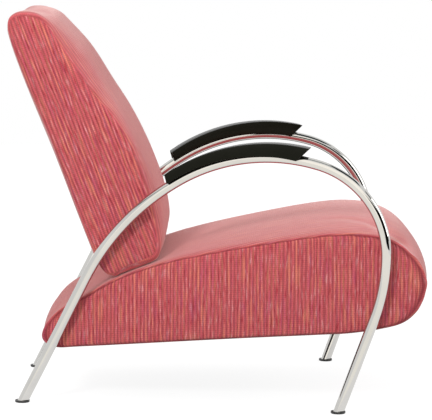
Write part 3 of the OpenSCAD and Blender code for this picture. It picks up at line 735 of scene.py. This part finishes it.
@dataclass
class Cushion:
    """One padded form between the two side frames, cut as a band round two side panels.

    The corner and the tilt place its own axes in the side view. The half width grows forwards by the toe.
    The two powers of the fall bring the crown down to nothing at the sides. The cover is held up to
    held_below above its base, and its sides less firmly. Its edge is rounded in full from the share
    soft_from of the length onwards.
    """

    name: str
    stands_for: tuple[str, ...]
    knots: Knots
    length: float
    height: float
    crown: float
    corner: tuple[float, float]
    tilt: float
    half: float
    toe: float
    fall: tuple[float, float]
    weave_tilt: float
    held_below: float
    stations: int = 44
    station_power: float = 1.35
    cap_rings: int = 12
    side_bulge: float = 0.004
    start_inset: float = 0.001
    side_hold: float = 0.65
    puff_steps: int = 20
    puff_cap: float = 0.004
    wave: float = 0.0006
    wave_pitches: tuple[float, float] = (0.052, 0.031)
    wave_from: float = 0.8
    seam_depth: float = 0.0016
    seam_shade: float = 0.75
    edge_passes: int = 1
    even_passes: int = 10
    even_share: float = 0.6
    soft_from: float = 0.0
    fold: Fold | None = None
    fill: float = 0.85
    outline: np.ndarray = field(init=False)

    def __post_init__(self) -> None:
        """Draws the side outline."""
        self.outline = self.knots.curve(self.length, self.height, self.crown)

    @property
    def count(self) -> int:
        """How many points the outline has."""
        return len(self.outline)

    @property
    def run(self) -> np.ndarray:
        """Metres along the outline to each point, and last to the first point again."""
        steps = np.linalg.norm(np.roll(self.outline[:, :2], -1, 0) - self.outline[:, :2], axis=1)
        return np.concatenate([[0.0], np.cumsum(steps)])

    def outward(self) -> np.ndarray:
        """Gives the outline's outward directions.

        Returns:
            One row of two numbers for each point.
        """
        d = np.roll(self.outline[:, :2], -1, 0) - np.roll(self.outline[:, :2], 1, 0)
        normal = np.stack([d[:, 1], -d[:, 0]], 1)
        return normal / np.linalg.norm(normal, axis=1)[:, None]

    def half_at(self, forward: np.ndarray) -> np.ndarray:
        """Gives the half width between the side planes, so many metres forward of the front feet."""
        return self.half + forward * math.tan(self.toe)

    def tilted(self, along: np.ndarray, up: np.ndarray) -> tuple[np.ndarray, np.ndarray]:
        """Turns the cushion's own axes into the side view: metres forward of the front feet, and up."""
        c, s = math.cos(self.tilt), math.sin(self.tilt)
        return self.corner[0] + along * c - up * s, self.corner[1] + along * s + up * c

    def blank(self) -> bpy.types.Object:
        """Adds a drum with a facet for each outline point, cuts it across into stations and insets its two ends.

        Returns:
            The drum, of radius 1 and from -1 to 1 along Z.
        """
        bpy.ops.object.select_all(action="DESELECT")
        bpy.ops.mesh.primitive_cylinder_add(vertices=self.count, radius=1.0, depth=2.0, end_fill_type="NGON")
        drum = new_piece(self.name)
        with editing():
            for i in range(1, self.stations):
                t = 2 * i / self.stations - 1
                height = math.copysign(1 - (1 - abs(t)) ** self.station_power, t) if t else 0.0
                bpy.ops.mesh.select_all(action="SELECT")
                bpy.ops.mesh.bisect(plane_co=(0, 0, height), plane_no=(0, 0, 1))
        for end in (-1, 1):
            with editing("FACE", [face.normal.z * end > 0.99 for face in drum.data.polygons]):
                for _ in range(self.cap_rings - 1):
                    bpy.ops.mesh.inset(thickness=1 / self.cap_rings, use_even_offset=True)
                bpy.ops.mesh.merge(type="CENTER")
        return drum

    def mould(self, drum: bpy.types.Object) -> tuple[np.ndarray, np.ndarray]:
        """Moves the drum's points onto the cushion's form.

        Args:
            drum: the blank.

        Returns:
            The outline point of each vertex, and its place from -1 to 1 between the sides.
        """
        raw = coordinates(drum)
        radius = np.hypot(raw[:, 0], raw[:, 1])
        place = np.round(np.arctan2(raw[:, 1], raw[:, 0]) / (2 * np.pi) * self.count).astype(int) % self.count
        place = (place - self.first_place(raw, place)) % self.count
        across = raw[:, 2]
        ends = np.abs(across) > ON_RIM
        ring = np.where(ends & (radius < ON_RIM), radius, 1.0)
        normal = self.outward()
        fall = (1 - np.minimum(np.abs(across), 1) ** self.fall[0]) ** self.fall[1]
        rise = self.outline[place, 2] * fall - self.start_inset
        rise = np.where(ends, -self.start_inset * 0.25, rise)
        rise += self.puckers(place, across) - self.folds(place, across)
        edge = self.outline[place, :2] + rise[:, None] * normal[place]
        middle = (self.outline[:, :2].max(0) + self.outline[:, :2].min(0)) / 2
        flat = middle + ring[:, None] * (edge - middle)
        forward, up = self.tilted(flat[:, 0], flat[:, 1])
        bulge = np.where(ends, self.side_bulge * (1 - ring**2), 0.0)
        out = across * self.half_at(forward) + np.sign(across) * bulge
        set_coordinates(drum, np.stack([-out, FRONT_FOOT_Y - forward, up], 1))
        keep_point_values(drum, "seam", ends & (ring > ON_RIM))
        keep_point_values(drum, "band", ~ends)
        return place, across

    def puckers(self, place: np.ndarray, across: np.ndarray) -> np.ndarray:
        """Gives the small waves that stitching draws into the cloth along the two side seams.

        Args:
            place: the outline point of each vertex.
            across: from -1 to 1 between the sides, for each vertex.

        Returns:
            Metres outwards for each vertex.
        """
        turn = 2 * np.pi * self.run[place] / self.run[-1]
        long, short = (round(self.run[-1] / pitch) for pitch in self.wave_pitches)
        waves = np.sin(long * turn) + 0.7 * np.sin(short * turn + 1.3)
        near = np.clip((np.abs(across) - self.wave_from) / (1 - self.wave_from), 0, 1)
        return self.wave * waves * near * (self.outline[place, 2] > 0.45 * self.crown)

    def folds(self, place: np.ndarray, across: np.ndarray) -> np.ndarray:
        """Gives the shallow fold that runs beside each side seam over the front.

        Args:
            place: the outline point of each vertex.
            across: from -1 to 1 between the sides, for each vertex.

        Returns:
            Metres inwards for each vertex.
        """
        fold = self.fold
        if fold is None:
            return np.zeros(len(place))
        share = (place / self.knots.steps - fold.first) / (fold.last - fold.first)
        line = fold.start + np.clip(share, 0, 1) * (fold.end - fold.start)
        window = np.clip(np.minimum(share + fold.fade, 1 + fold.fade - share) / fold.fade, 0, 1)
        window = window * window * (3 - 2 * window)
        return fold.depth * window * np.exp(-(((np.abs(across) - line) / fold.width) ** 2))

    def first_place(self, raw: np.ndarray, place: np.ndarray) -> int:
        """Finds the facet on the drum's X axis, which counts as the outline's first point."""
        rim = np.hypot(raw[:, 0], raw[:, 1]) > ON_RIM
        return int(place[rim][np.argmax(raw[rim][:, 0])])

    def lay_weave(self, drum: bpy.types.Object, place: np.ndarray, across: np.ndarray) -> None:
        """Writes the weave UV map in metres: across the ribs, then along them.

        Args:
            drum: the moulded form.
            place: the outline point of each vertex.
            across: from -1 to 1 between the sides, for each vertex.
        """
        run = self.run
        points = coordinates(drum)
        layer = drum.data.uv_layers.new(name="weave")
        c, s = math.cos(self.weave_tilt), math.sin(self.weave_tilt)
        for face in drum.data.polygons:
            on_side = min(abs(across[v]) for v in face.vertices) > ON_RIM
            places = [place[v] for v in face.vertices]
            wraps = not on_side and max(places) - min(places) > 1
            for corner, v in zip(face.loop_indices, face.vertices):
                x, y, z = points[v]
                if on_side:
                    layer.data[corner].uv = (y * c - z * s + (3.0 if x > 0 else 0.0), z * c + y * s)
                else:
                    index = self.count if wraps and place[v] == 0 else place[v]
                    layer.data[corner].uv = (x + 6.0, run[index])
        drum.data.uv_layers.active = layer

    def puff(self, piece: bpy.types.Object) -> None:
        """Blows the cover out with simulated cloth, held where it is fixed, then limits how far it went.

        Args:
            piece: the moulded form.
        """
        rest = coordinates(piece)
        forward = FRONT_FOOT_Y - rest[:, 1]
        base = rest[:, 2] < self.corner[1] + np.tan(self.tilt) * (forward - self.corner[0]) + self.held_below
        sides = (point_values(piece, "band") < 0.5) & ~base
        held = piece.vertex_groups.new(name="held")
        for points, weight in ((base, 1.0), (sides, self.side_hold)):
            held.add(np.nonzero(points)[0].tolist(), weight, "REPLACE")
        activate(piece)
        cloth = piece.modifiers.new("puff", "CLOTH")
        for key, value in CLOTH.items():
            setattr(cloth.settings, key, value)
        cloth.settings.effector_weights.gravity = 0.0
        cloth.point_cache.frame_start = 1
        cloth.point_cache.frame_end = self.puff_steps
        for step in range(1, self.puff_steps + 1):
            bpy.context.scene.frame_set(step)
        bpy.ops.object.modifier_apply(modifier="puff")
        bpy.context.scene.frame_set(1)
        moved = self.evened(piece, coordinates(piece) - rest)
        length = np.linalg.norm(moved, axis=1)[:, None]
        set_coordinates(piece, rest + moved * np.minimum(1, self.puff_cap / np.maximum(length, 1e-9)))
        piece.vertex_groups.clear()

    def evened(self, piece: bpy.types.Object, moved: np.ndarray) -> np.ndarray:
        """Evens out how far neighbouring points moved, which takes the small creases out.

        Args:
            piece: the form.
            moved: one row of three numbers for each vertex.

        Returns:
            The evened rows.
        """
        ends = np.zeros(len(piece.data.edges) * 2, int)
        piece.data.edges.foreach_get("vertices", ends)
        ends = ends.reshape(-1, 2)
        count = np.bincount(ends.ravel(), minlength=len(moved))[:, None]
        for _ in range(self.even_passes):
            total = np.zeros_like(moved)
            np.add.at(total, ends[:, 0], moved[ends[:, 1]])
            np.add.at(total, ends[:, 1], moved[ends[:, 0]])
            moved = (1 - self.even_share) * moved + self.even_share * total / count
        return moved

    def soften_edges(self, piece: bpy.types.Object) -> None:
        """Rounds the edge between the band and the side panels.

        Args:
            piece: the form, before its last subdivision.
        """
        before = coordinates(piece)
        activate(piece)
        with editing("VERT", point_values(piece, "seam") > 0.5):
            bpy.ops.mesh.select_more()
            bpy.ops.mesh.select_more()
            bpy.ops.mesh.vertices_smooth(factor=0.5, repeat=self.edge_passes)
        forward, up = FRONT_FOOT_Y - before[:, 1] - self.corner[0], before[:, 2] - self.corner[1]
        along = (forward * math.cos(self.tilt) + up * math.sin(self.tilt)) / self.length
        share = 0.2 + 0.8 * np.clip((along - self.soft_from) / 0.3, 0, 1)
        set_coordinates(piece, before + (coordinates(piece) - before) * share[:, None])

    def build(self, material: bpy.types.Material) -> bpy.types.Object:
        """Builds the cushion.

        Args:
            material: its cloth.

        Returns:
            The piece, riding on the frame.
        """
        piece = self.blank()
        place, across = self.mould(piece)
        self.puff(piece)
        self.soften_edges(piece)
        self.lay_weave(piece, place, across)
        activate(piece)
        modify(piece, "SUBSURF", levels=1, render_levels=1)
        self.sink_seam(piece)
        face_out(piece)
        bpy.ops.object.shade_smooth()
        dress(piece, material)
        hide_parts(*self.stands_for)
        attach(piece, "root")
        return piece

    def sink_seam(self, piece: bpy.types.Object) -> None:
        """Draws the seam line in and keeps it as a narrow dark line of painted shade.

        Args:
            piece: the subdivided form.
        """
        normals = np.zeros(len(piece.data.vertices) * 3)
        piece.data.vertices.foreach_get("normal", normals)
        line = np.clip((point_values(piece, "seam") - 0.55) / 0.4, 0, 1)
        set_coordinates(piece, coordinates(piece) - self.seam_depth * line[:, None] * normals.reshape(-1, 3))
        keep_point_values(piece, "seam", line * self.seam_shade)


@dataclass
class Upholstery:
    """The seat and the back in their ribbed cloth, and the dust cloth under the seat."""

    seat: Cushion = field(default_factory=lambda: Cushion(
        name="seat_upholstery",
        stands_for=("seat_cover", "seat_foam"),
        knots=Knots([
            (0.032, 0.012, 0.0), (0.085, 0.0, 0.0), (0.50, -0.004, 0.0), (0.73, -0.012, 0.0),
            (0.80, -0.012, 0.0), (0.881, 0.019, 0.08), (0.943, 0.085, 0.3), (0.986, 0.280, 0.62),
            (1.0, 0.478, 0.56), (0.982, 0.679, 0.53),
            (0.933, 0.880, 0.78), (0.867, 0.964, 0.89), (0.777, 0.995, 0.81), (0.629, 0.957, 0.76),
            (0.431, 0.873, 0.58), (0.320, 0.799, 0.2), (0.203, 0.665, 0.03), (0.114, 0.495, 0.05),
            (0.047, 0.368, 0.08), (0.0115, 0.234, 0.1), (0.0025, 0.105, 0.08),
        ]),
        length=0.824, height=0.209, crown=0.028,
        corner=(-0.6295, 0.1116), tilt=SEAT_TILT,
        half=0.29528, toe=FRAME_TOE, fall=(2.4, 1.0),
        weave_tilt=0.0, held_below=0.004, soft_from=-1.0, fold=Fold(9.9, 11.8, 0.86, 0.58, 0.0020),
    ))
    back: Cushion = field(default_factory=lambda: Cushion(
        name="back_upholstery",
        stands_for=("back_cover", "back_foam"),
        knots=Knots([
            (0.135, 0.0, -0.02), (0.224, 0.0, -0.06), (0.609, 0.0, -0.08), (0.801, 0.012, 0.1),
            (0.878, 0.075, 0.45), (0.955, 0.184, 0.58), (1.0, 0.310, 0.48), (0.987, 0.436, 0.42),
            (0.917, 0.534, 0.52), (0.795, 0.628, 0.73), (0.641, 0.774, 0.9), (0.551, 0.888, 0.58),
            (0.500, 0.948, 0.28), (0.353, 0.990, 0.06), (0.186, 1.0, 0.03), (0.051, 0.990, 0.05),
            (-0.006, 0.946, 0.1), (-0.024, 0.78, 0.15), (0.0, 0.503, 0.2), (0.0, 0.084, 0.1), (0.038, 0.022, 0.02),
        ]),
        length=0.156, height=0.597, crown=0.038,
        corner=(-0.4915, 0.262), tilt=BACK_TILT,
        half=0.25724, toe=math.radians(4.5), fall=(2.6, 0.75),
        weave_tilt=BACK_TILT, held_below=0.003,
        edge_passes=8, soft_from=0.05, seam_depth=0.0005, seam_shade=0.15, stations=36, wave=0.0004,
    ))
    dust_grid: tuple[int, int] = (24, 30)
    dust_thickness: float = 0.0008
    dust_sag: float = 0.0006
    dust_drop: float = 0.0028

    def build(self, materials: dict[str, bpy.types.Material]) -> list[bpy.types.Object]:
        """Builds the soft pieces in the finishes by slot."""
        cloth = materials["ribbed_cloth"]
        return [self.seat.build(cloth), self.back.build(cloth), self.dust_cloth(materials["dust_cloth"])]

    def dust_cloth(self, material: bpy.types.Material) -> bpy.types.Object:
        """Stretches a thin black cloth under the seat, pulled slightly down in its middle.

        Args:
            material: its finish.

        Returns:
            The piece.
        """
        low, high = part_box("seat_dust_cloth")
        columns, rows = self.dust_grid
        bpy.ops.object.select_all(action="DESELECT")
        bpy.ops.mesh.primitive_grid_add(x_subdivisions=columns, y_subdivisions=rows, size=2.0)
        piece = new_piece("dust_cloth")
        raw = coordinates(piece)
        share = (raw[:, 1] + 1) / 2
        y = low.y + share * (high.y - low.y)
        half_front, half_rear = high.x, high.x - (high.y - low.y) * math.tan(FRAME_TOE)
        half = half_front + share * (half_rear - half_front)
        sag = self.dust_sag * (1 - raw[:, 0] ** 2) * (1 - raw[:, 1] ** 2) + self.dust_drop * (1 - share) ** 2
        up = high.z + share * (low.z - high.z) - sag
        set_coordinates(piece, np.stack([raw[:, 0] * half, y, up], 1))
        activate(piece)
        modify(piece, "SOLIDIFY", thickness=self.dust_thickness, offset=0.0)
        bpy.ops.object.shade_smooth_by_angle(angle=math.radians(40))
        dress(piece, material)
        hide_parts("seat_dust_cloth")
        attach(piece, "root")
        return piece


@dataclass
class SideTube:
    """One bent tube, from the front foot over the arm to the rear foot, with the holes for its fixings."""

    side: Side
    radius: float = 0.011
    wall: float = 0.002
    first_heading: float = math.radians(70)
    front_leg: float = 0.217
    bends: tuple[tuple[float, float], ...] = ((0.374, 19.9), (0.196, 74.5), (0.378, 45.8), (0.517, 32.8))
    spare: float = 0.008
    cut_height: float = 0.0045
    facets: int = 40
    turn_step: float = math.radians(1.7)

    def draw_out(self, heading: float, length: float) -> Vector:
        """Draws the selected ring straight out.

        Args:
            heading: the direction in the frame's plane.
            length: how far.

        Returns:
            The step.
        """
        step = length * Vector((math.cos(heading), math.sin(heading), 0.0))
        bpy.ops.mesh.extrude_region_move(TRANSFORM_OT_translate={"value": step})
        return step

    def sweep(self) -> bpy.types.Object:
        """Draws a ring along the tube's middle line and cuts both ends level, a disc's height above the floor.

        Returns:
            The tube's outer skin in the plane of its bends, open at both ends.
        """
        heading = self.first_heading
        at = -self.spare * Vector((math.cos(heading), math.sin(heading), 0.0))
        bpy.ops.object.select_all(action="DESELECT")
        bpy.ops.mesh.primitive_circle_add(
            vertices=self.facets, radius=self.radius, location=at, rotation=(0.0, QUARTER, heading),
        )
        tube = new_piece(f"side_tube_{self.side.word}_chromed")
        bpy.ops.object.transform_apply(location=True, rotation=True, scale=True)
        with editing():
            at += self.draw_out(heading, self.front_leg + self.spare)
            for radius, degrees in self.bends:
                turn = math.radians(degrees)
                centre = at + radius * Vector((-math.sin(heading), math.cos(heading), 0.0))
                bpy.ops.mesh.spin(steps=round(turn / self.turn_step), angle=-turn, center=centre, axis=(0, 0, 1))
                heading += turn
                at = centre + radius * Vector((math.sin(heading), -math.cos(heading), 0.0))
            self.draw_out(heading, at.y / -math.sin(heading) + self.spare)
            bpy.ops.mesh.select_all(action="SELECT")
            bpy.ops.mesh.bisect(plane_co=(0, self.cut_height, 0), plane_no=(0, 1, 0), clear_inner=True)
        return tube

    def build(self, material: bpy.types.Material) -> bpy.types.Object:
        """Builds the tube.

        Args:
            material: its chrome.

        Returns:
            The piece, riding on the frame.
        """
        tube = self.sweep()
        raw = coordinates(tube)
        set_coordinates(tube, in_frame(self.side, raw[:, 0], raw[:, 2], raw[:, 1]))
        face_out(tube)
        modify(tube, "SOLIDIFY", thickness=self.wall, offset=-1.0)
        cut(tube, fixing_cutter("tube_bushes", filled=True))
        cut(tube, fixing_cutter("armrest_screws", filled=False))
        activate(tube)
        bpy.ops.object.shade_smooth_by_angle(angle=SMOOTH_BELOW)
        dress(tube, material)
        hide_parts(f"side_tube_{self.side.word}")
        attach(tube, "root")
        return tube


@dataclass
class Armrest:
    """One curved lacquered armrest that sits on the top bend of its tube."""

    side: Side
    width: float = 0.045
    top_r: float = 0.383
    top_rise: float = 0.0255
    bottom_r: float = 0.342
    bottom_rise: float = 0.0395
    bottom_set: float = 0.018
    bend_r: float = 0.378
    bend_centre: tuple[float, float] = (-0.14817, 0.156223)
    front_angle: float = math.radians(77.3)
    rear_angle: float = math.radians(125)
    edge: float = 0.0016
    arc_steps: int = 40
    groove_r: float = 0.0114
    groove_over: float = math.radians(4)

    def arc(self, angle: np.ndarray, radius: float, rise: float, set_back: float) -> tuple[np.ndarray, np.ndarray]:
        """Gives the reach and the height of places on one edge of the side outline, by their angle."""
        reach = self.bend_centre[0] - set_back + radius * np.cos(angle)
        return reach, self.bend_centre[1] + rise + radius * np.sin(angle)

    def groove_cutter(self) -> bpy.types.Object:
        """Spins a closed piece of tube round the bend, to cut the groove with.

        Returns:
            The cutter.
        """
        first = self.front_angle - self.groove_over
        turn = self.rear_angle - self.front_angle + 2 * self.groove_over
        bpy.ops.object.select_all(action="DESELECT")
        bpy.ops.mesh.primitive_circle_add(
            vertices=32, radius=self.groove_r, location=(self.bend_r, 0.0, 0.0), rotation=(QUARTER, 0.0, 0.0),
        )
        cutter = new_piece("groove_cutter")
        bpy.ops.object.transform_apply(location=True, rotation=True, scale=True)
        with editing():
            bpy.ops.mesh.spin(steps=60, angle=turn, center=(0, 0, 0), axis=(0, 0, 1))
            bpy.ops.mesh.select_all(action="SELECT")
            bpy.ops.mesh.fill_holes(sides=0)
        raw = coordinates(cutter)
        angle = np.abs(np.arctan2(raw[:, 1], raw[:, 0])) + first
        radius = np.hypot(raw[:, 0], raw[:, 1])
        reach = self.bend_centre[0] + radius * np.cos(angle)
        up = self.bend_centre[1] + radius * np.sin(angle)
        set_coordinates(cutter, in_frame(self.side, reach, raw[:, 2], up))
        face_out(cutter)
        return cutter

    def build(self, material: bpy.types.Material) -> bpy.types.Object:
        """Builds the armrest: a curved plate drawn out sideways, its edges rounded, its groove cut.

        Args:
            material: its lacquer.

        Returns:
            The piece, riding on the frame.
        """
        bpy.ops.object.select_all(action="DESELECT")
        bpy.ops.mesh.primitive_grid_add(x_subdivisions=self.arc_steps, y_subdivisions=1, size=2.0)
        piece = new_piece(f"armrest_{self.side.word}_lacquered")
        with editing():
            bpy.ops.mesh.extrude_region_move(TRANSFORM_OT_translate={"value": (0.0, 0.0, 1.0)})
        raw = coordinates(piece)
        angle = self.rear_angle + (raw[:, 0] + 1) / 2 * (self.front_angle - self.rear_angle)
        high = self.arc(angle, self.top_r, self.top_rise, 0.0)
        low = self.arc(angle, self.bottom_r, self.bottom_rise, self.bottom_set)
        share = (raw[:, 1] + 1) / 2
        reach = low[0] + share * (high[0] - low[0])
        up = low[1] + share * (high[1] - low[1])
        set_coordinates(piece, in_frame(self.side, reach, (raw[:, 2] - 0.5) * self.width, up))
        face_out(piece)
        with editing("EDGE"):
            bpy.ops.mesh.select_all(action="DESELECT")
            bpy.ops.mesh.edges_select_sharp(sharpness=math.radians(35))
            bpy.ops.mesh.bevel(offset=self.edge, segments=3, profile=0.5, clamp_overlap=True)
        cut(piece, self.groove_cutter())
        cut(piece, fixing_cutter("armrest_screws", filled=False))
        activate(piece)
        bpy.ops.object.shade_smooth_by_angle(angle=SMOOTH_BELOW)
        dress(piece, material)
        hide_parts(f"armrest_{self.side.word}")
        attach(piece, "root")
        return piece


@dataclass(frozen=True)
class ReflectionCard:
    """A flat card that only polished metal sees: a painted reflection, glowing or dark, in place of the cards a
    photographer sets beside a chromed frame.
    """

    name: str
    centre: tuple[float, float, float]
    size: tuple[float, float]
    turn: tuple[float, float, float]
    colour: Colour

    def build(self) -> None:
        """Builds the card, hidden from the camera, from soft light and from shadows."""
        bpy.ops.object.select_all(action="DESELECT")
        bpy.ops.mesh.primitive_plane_add(size=1.0, location=self.centre, rotation=self.turn)
        card = new_piece(self.name)
        set_coordinates(card, coordinates(card) * [self.size[0], self.size[1], 1.0])
        g = Graph(bpy.data.materials.new(self.name))
        glow = g.add("Emission", {"Color": self.colour, "Strength": 1.0})
        g.feed(g.tree.nodes["Material Output"], {"Surface": (glow, "Emission")})
        dress(card, g.owner)
        card.visible_camera = False
        card.visible_diffuse = False
        card.visible_shadow = False
        card.visible_transmission = False


@dataclass(frozen=True)
class Lamp:
    """A square lamp."""

    name: str
    at: tuple[float, float, float]
    to: tuple[float, float, float]
    size: float
    power: float

    def build(self) -> None:
        """Hangs the lamp and points it."""
        data = bpy.data.lights.new(self.name, "AREA")
        data.size = self.size
        data.energy = self.power
        lamp = bpy.data.objects.new(self.name, data)
        bpy.context.scene.collection.objects.link(lamp)
        lamp.location = self.at
        lamp.rotation_euler = (Vector(self.to) - Vector(self.at)).to_track_quat("-Z", "Y").to_euler()


@dataclass
class Studio:
    """Floor, light, reflections and the camera."""

    camera_at: tuple[float, float, float] = (-5.3625, -0.0031, 1.0103)
    camera_to: tuple[float, float, float] = (0.0, 0.0063, 0.39017)
    camera_roll: float = math.radians(0.34)
    lens: float = 204.23
    sensor: float = 36.0
    floor_reach: float = 6.0
    world_level: float = 0.82
    floor_grey: float = 0.24
    floor_glow: float = 0.88
    lamps: tuple[Lamp, ...] = (
        Lamp("key", (-3.0, 1.5, 2.2), (0.0, 0.0, 0.35), 0.6, 46.0),
        Lamp("front", (-0.4, -3.2, 1.5), (0.0, 0.0, 0.5), 1.6, 24.0),
    )
    # painted reflections that only the chrome sees: the bright cards glow, the dark ones stand in for dark things
    # round the studio, and the dark brown far floor card for the floor in shade beyond the chair
    cards: tuple[ReflectionCard, ...] = (
        ReflectionCard("far_floor_shade_card", (2.3, 0.0, 0.003), (3.4, 7.0), (0.0, 0.0, 0.0), (0.06, 0.035, 0.025)),
        ReflectionCard("near_floor_card", (-2.7, 0.0, 0.003), (4.4, 7.0), (0.0, 0.0, 0.0), (1.25, 1.22, 1.15)),
        ReflectionCard("camera_card", (-6.2, 0.0, 3.7), (9.0, 7.0), (QUARTER, 0.0, QUARTER), (1.52, 1.46, 1.36)),
        ReflectionCard(
            "side_card", (-3.1, -3.2, 1.15), (4.5, 2.0), (QUARTER, 0.0, -QUARTER / 2), (0.004, 0.005, 0.004),
        ),
        ReflectionCard("front_card", (-1.5, -4.2, 2.3), (1.8, 3.4), (QUARTER, 0.0, 0.0), (0.006, 0.007, 0.006)),
        ReflectionCard("rear_card", (-1.6, 3.6, 3.0), (5.0, 1.0), (math.radians(50), 0.0, 0.0), (0.16, 0.19, 0.17)),
        ReflectionCard("overhead_card", (-0.75, 0.4, 3.0), (0.7, 3.6), (0.0, 0.0, 0.0), (0.20, 0.23, 0.22)),
        ReflectionCard("front_overhead_card", (-0.3, -1.7, 2.7), (2.2, 1.3), (0.0, 0.0, 0.0), (0.05, 0.06, 0.065)),
    )

    def build(self) -> None:
        """Builds the studio."""
        self.floor()
        self.world()
        for item in self.lamps + self.cards:
            item.build()
        self.camera()
        bpy.context.scene.view_settings.view_transform = "Standard"

    def floor(self) -> None:
        """Lays a pale round floor that shows white to the camera and keeps the shadow."""
        bpy.ops.object.select_all(action="DESELECT")
        bpy.ops.mesh.primitive_circle_add(vertices=128, radius=self.floor_reach, fill_type="NGON", location=(0, 0, 0))
        piece = new_piece("floor")
        g = Graph(bpy.data.materials.new("floor_paint"))
        grey = self.floor_grey
        tone = g.ramp(g.noise(g.place(), 3.0, 2.0), [(0.3, (grey,) * 3), (0.7, (grey + 0.01,) * 3)])
        g.feed(g.shader, {"Base Color": tone, "Roughness": 0.9, "Specular IOR Level": 0.0})
        glow = g.add("Emission", {"Strength": g.maths("MULTIPLY", g.seen(), self.floor_glow)})
        both = g.add("AddShader", {0: (g.shader, "BSDF"), 1: (glow, "Emission")})
        g.feed(g.tree.nodes["Material Output"], {"Surface": (both, "Shader")})
        dress(piece, g.owner)

    def world(self) -> None:
        """Lights the chair evenly, and shows white to the camera and to the chrome."""
        world = bpy.data.worlds.new("studio")
        bpy.context.scene.world = world
        g = Graph(world)
        plain = g.tree.nodes["Background"]
        g.feed(plain, {"Color": WHITE, "Strength": self.world_level})
        shown = g.add("Background", {"Color": WHITE, "Strength": 1.0})
        mix = g.add("MixShader", {0: g.seen(), 1: (plain, "Background"), 2: (shown, "Background")})
        g.feed(g.tree.nodes["World Output"], {"Surface": (mix, "Shader")})

    def camera(self) -> None:
        """Sets the camera at the photograph's place."""
        data = bpy.data.cameras.new("camera")
        data.lens = self.lens
        data.sensor_width = self.sensor
        camera = bpy.data.objects.new("camera", data)
        bpy.context.scene.collection.objects.link(camera)
        at, to = Vector(self.camera_at), Vector(self.camera_to)
        ahead = (to - at).normalized()
        right = ahead.cross(Vector((0, 0, 1))).normalized()
        up = right.cross(ahead)
        c, s = math.cos(self.camera_roll), math.sin(self.camera_roll)
        right, up = right * c + up * s, up * c - right * s
        turn = Matrix((right, up, -ahead)).transposed().to_4x4()
        camera.matrix_world = Matrix.Translation(at) @ turn
        bpy.context.scene.camera = camera


def dress_frame(materials: dict[str, bpy.types.Material]) -> None:
    """Gives every CAD node the finish that the record names for it, from the materials by slot."""
    for part in frame["record"]["subparts"]:
        dress(frame["nodes"][part["node"]], materials[part["material_slot"]])


def keep_sizes() -> None:
    """Updates the view layer.
    """
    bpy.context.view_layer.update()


def main() -> None:
    """Builds the chair's looks in order."""
    logging.basicConfig(level=logging.INFO, format="%(message)s")
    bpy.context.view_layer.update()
    materials = Palette().materials()
    dress_frame(materials)
    pieces = [SideTube(side).build(materials["chrome_tube"]) for side in Side]
    pieces += [Armrest(side).build(materials["lacquered_wood"]) for side in Side]
    pieces += Upholstery().build(materials)
    for piece in pieces:
        log.info("%s: %d faces", piece.name, len(piece.data.polygons))
    Studio().build()
    keep_sizes()


if __name__ == "__main__":
    main()
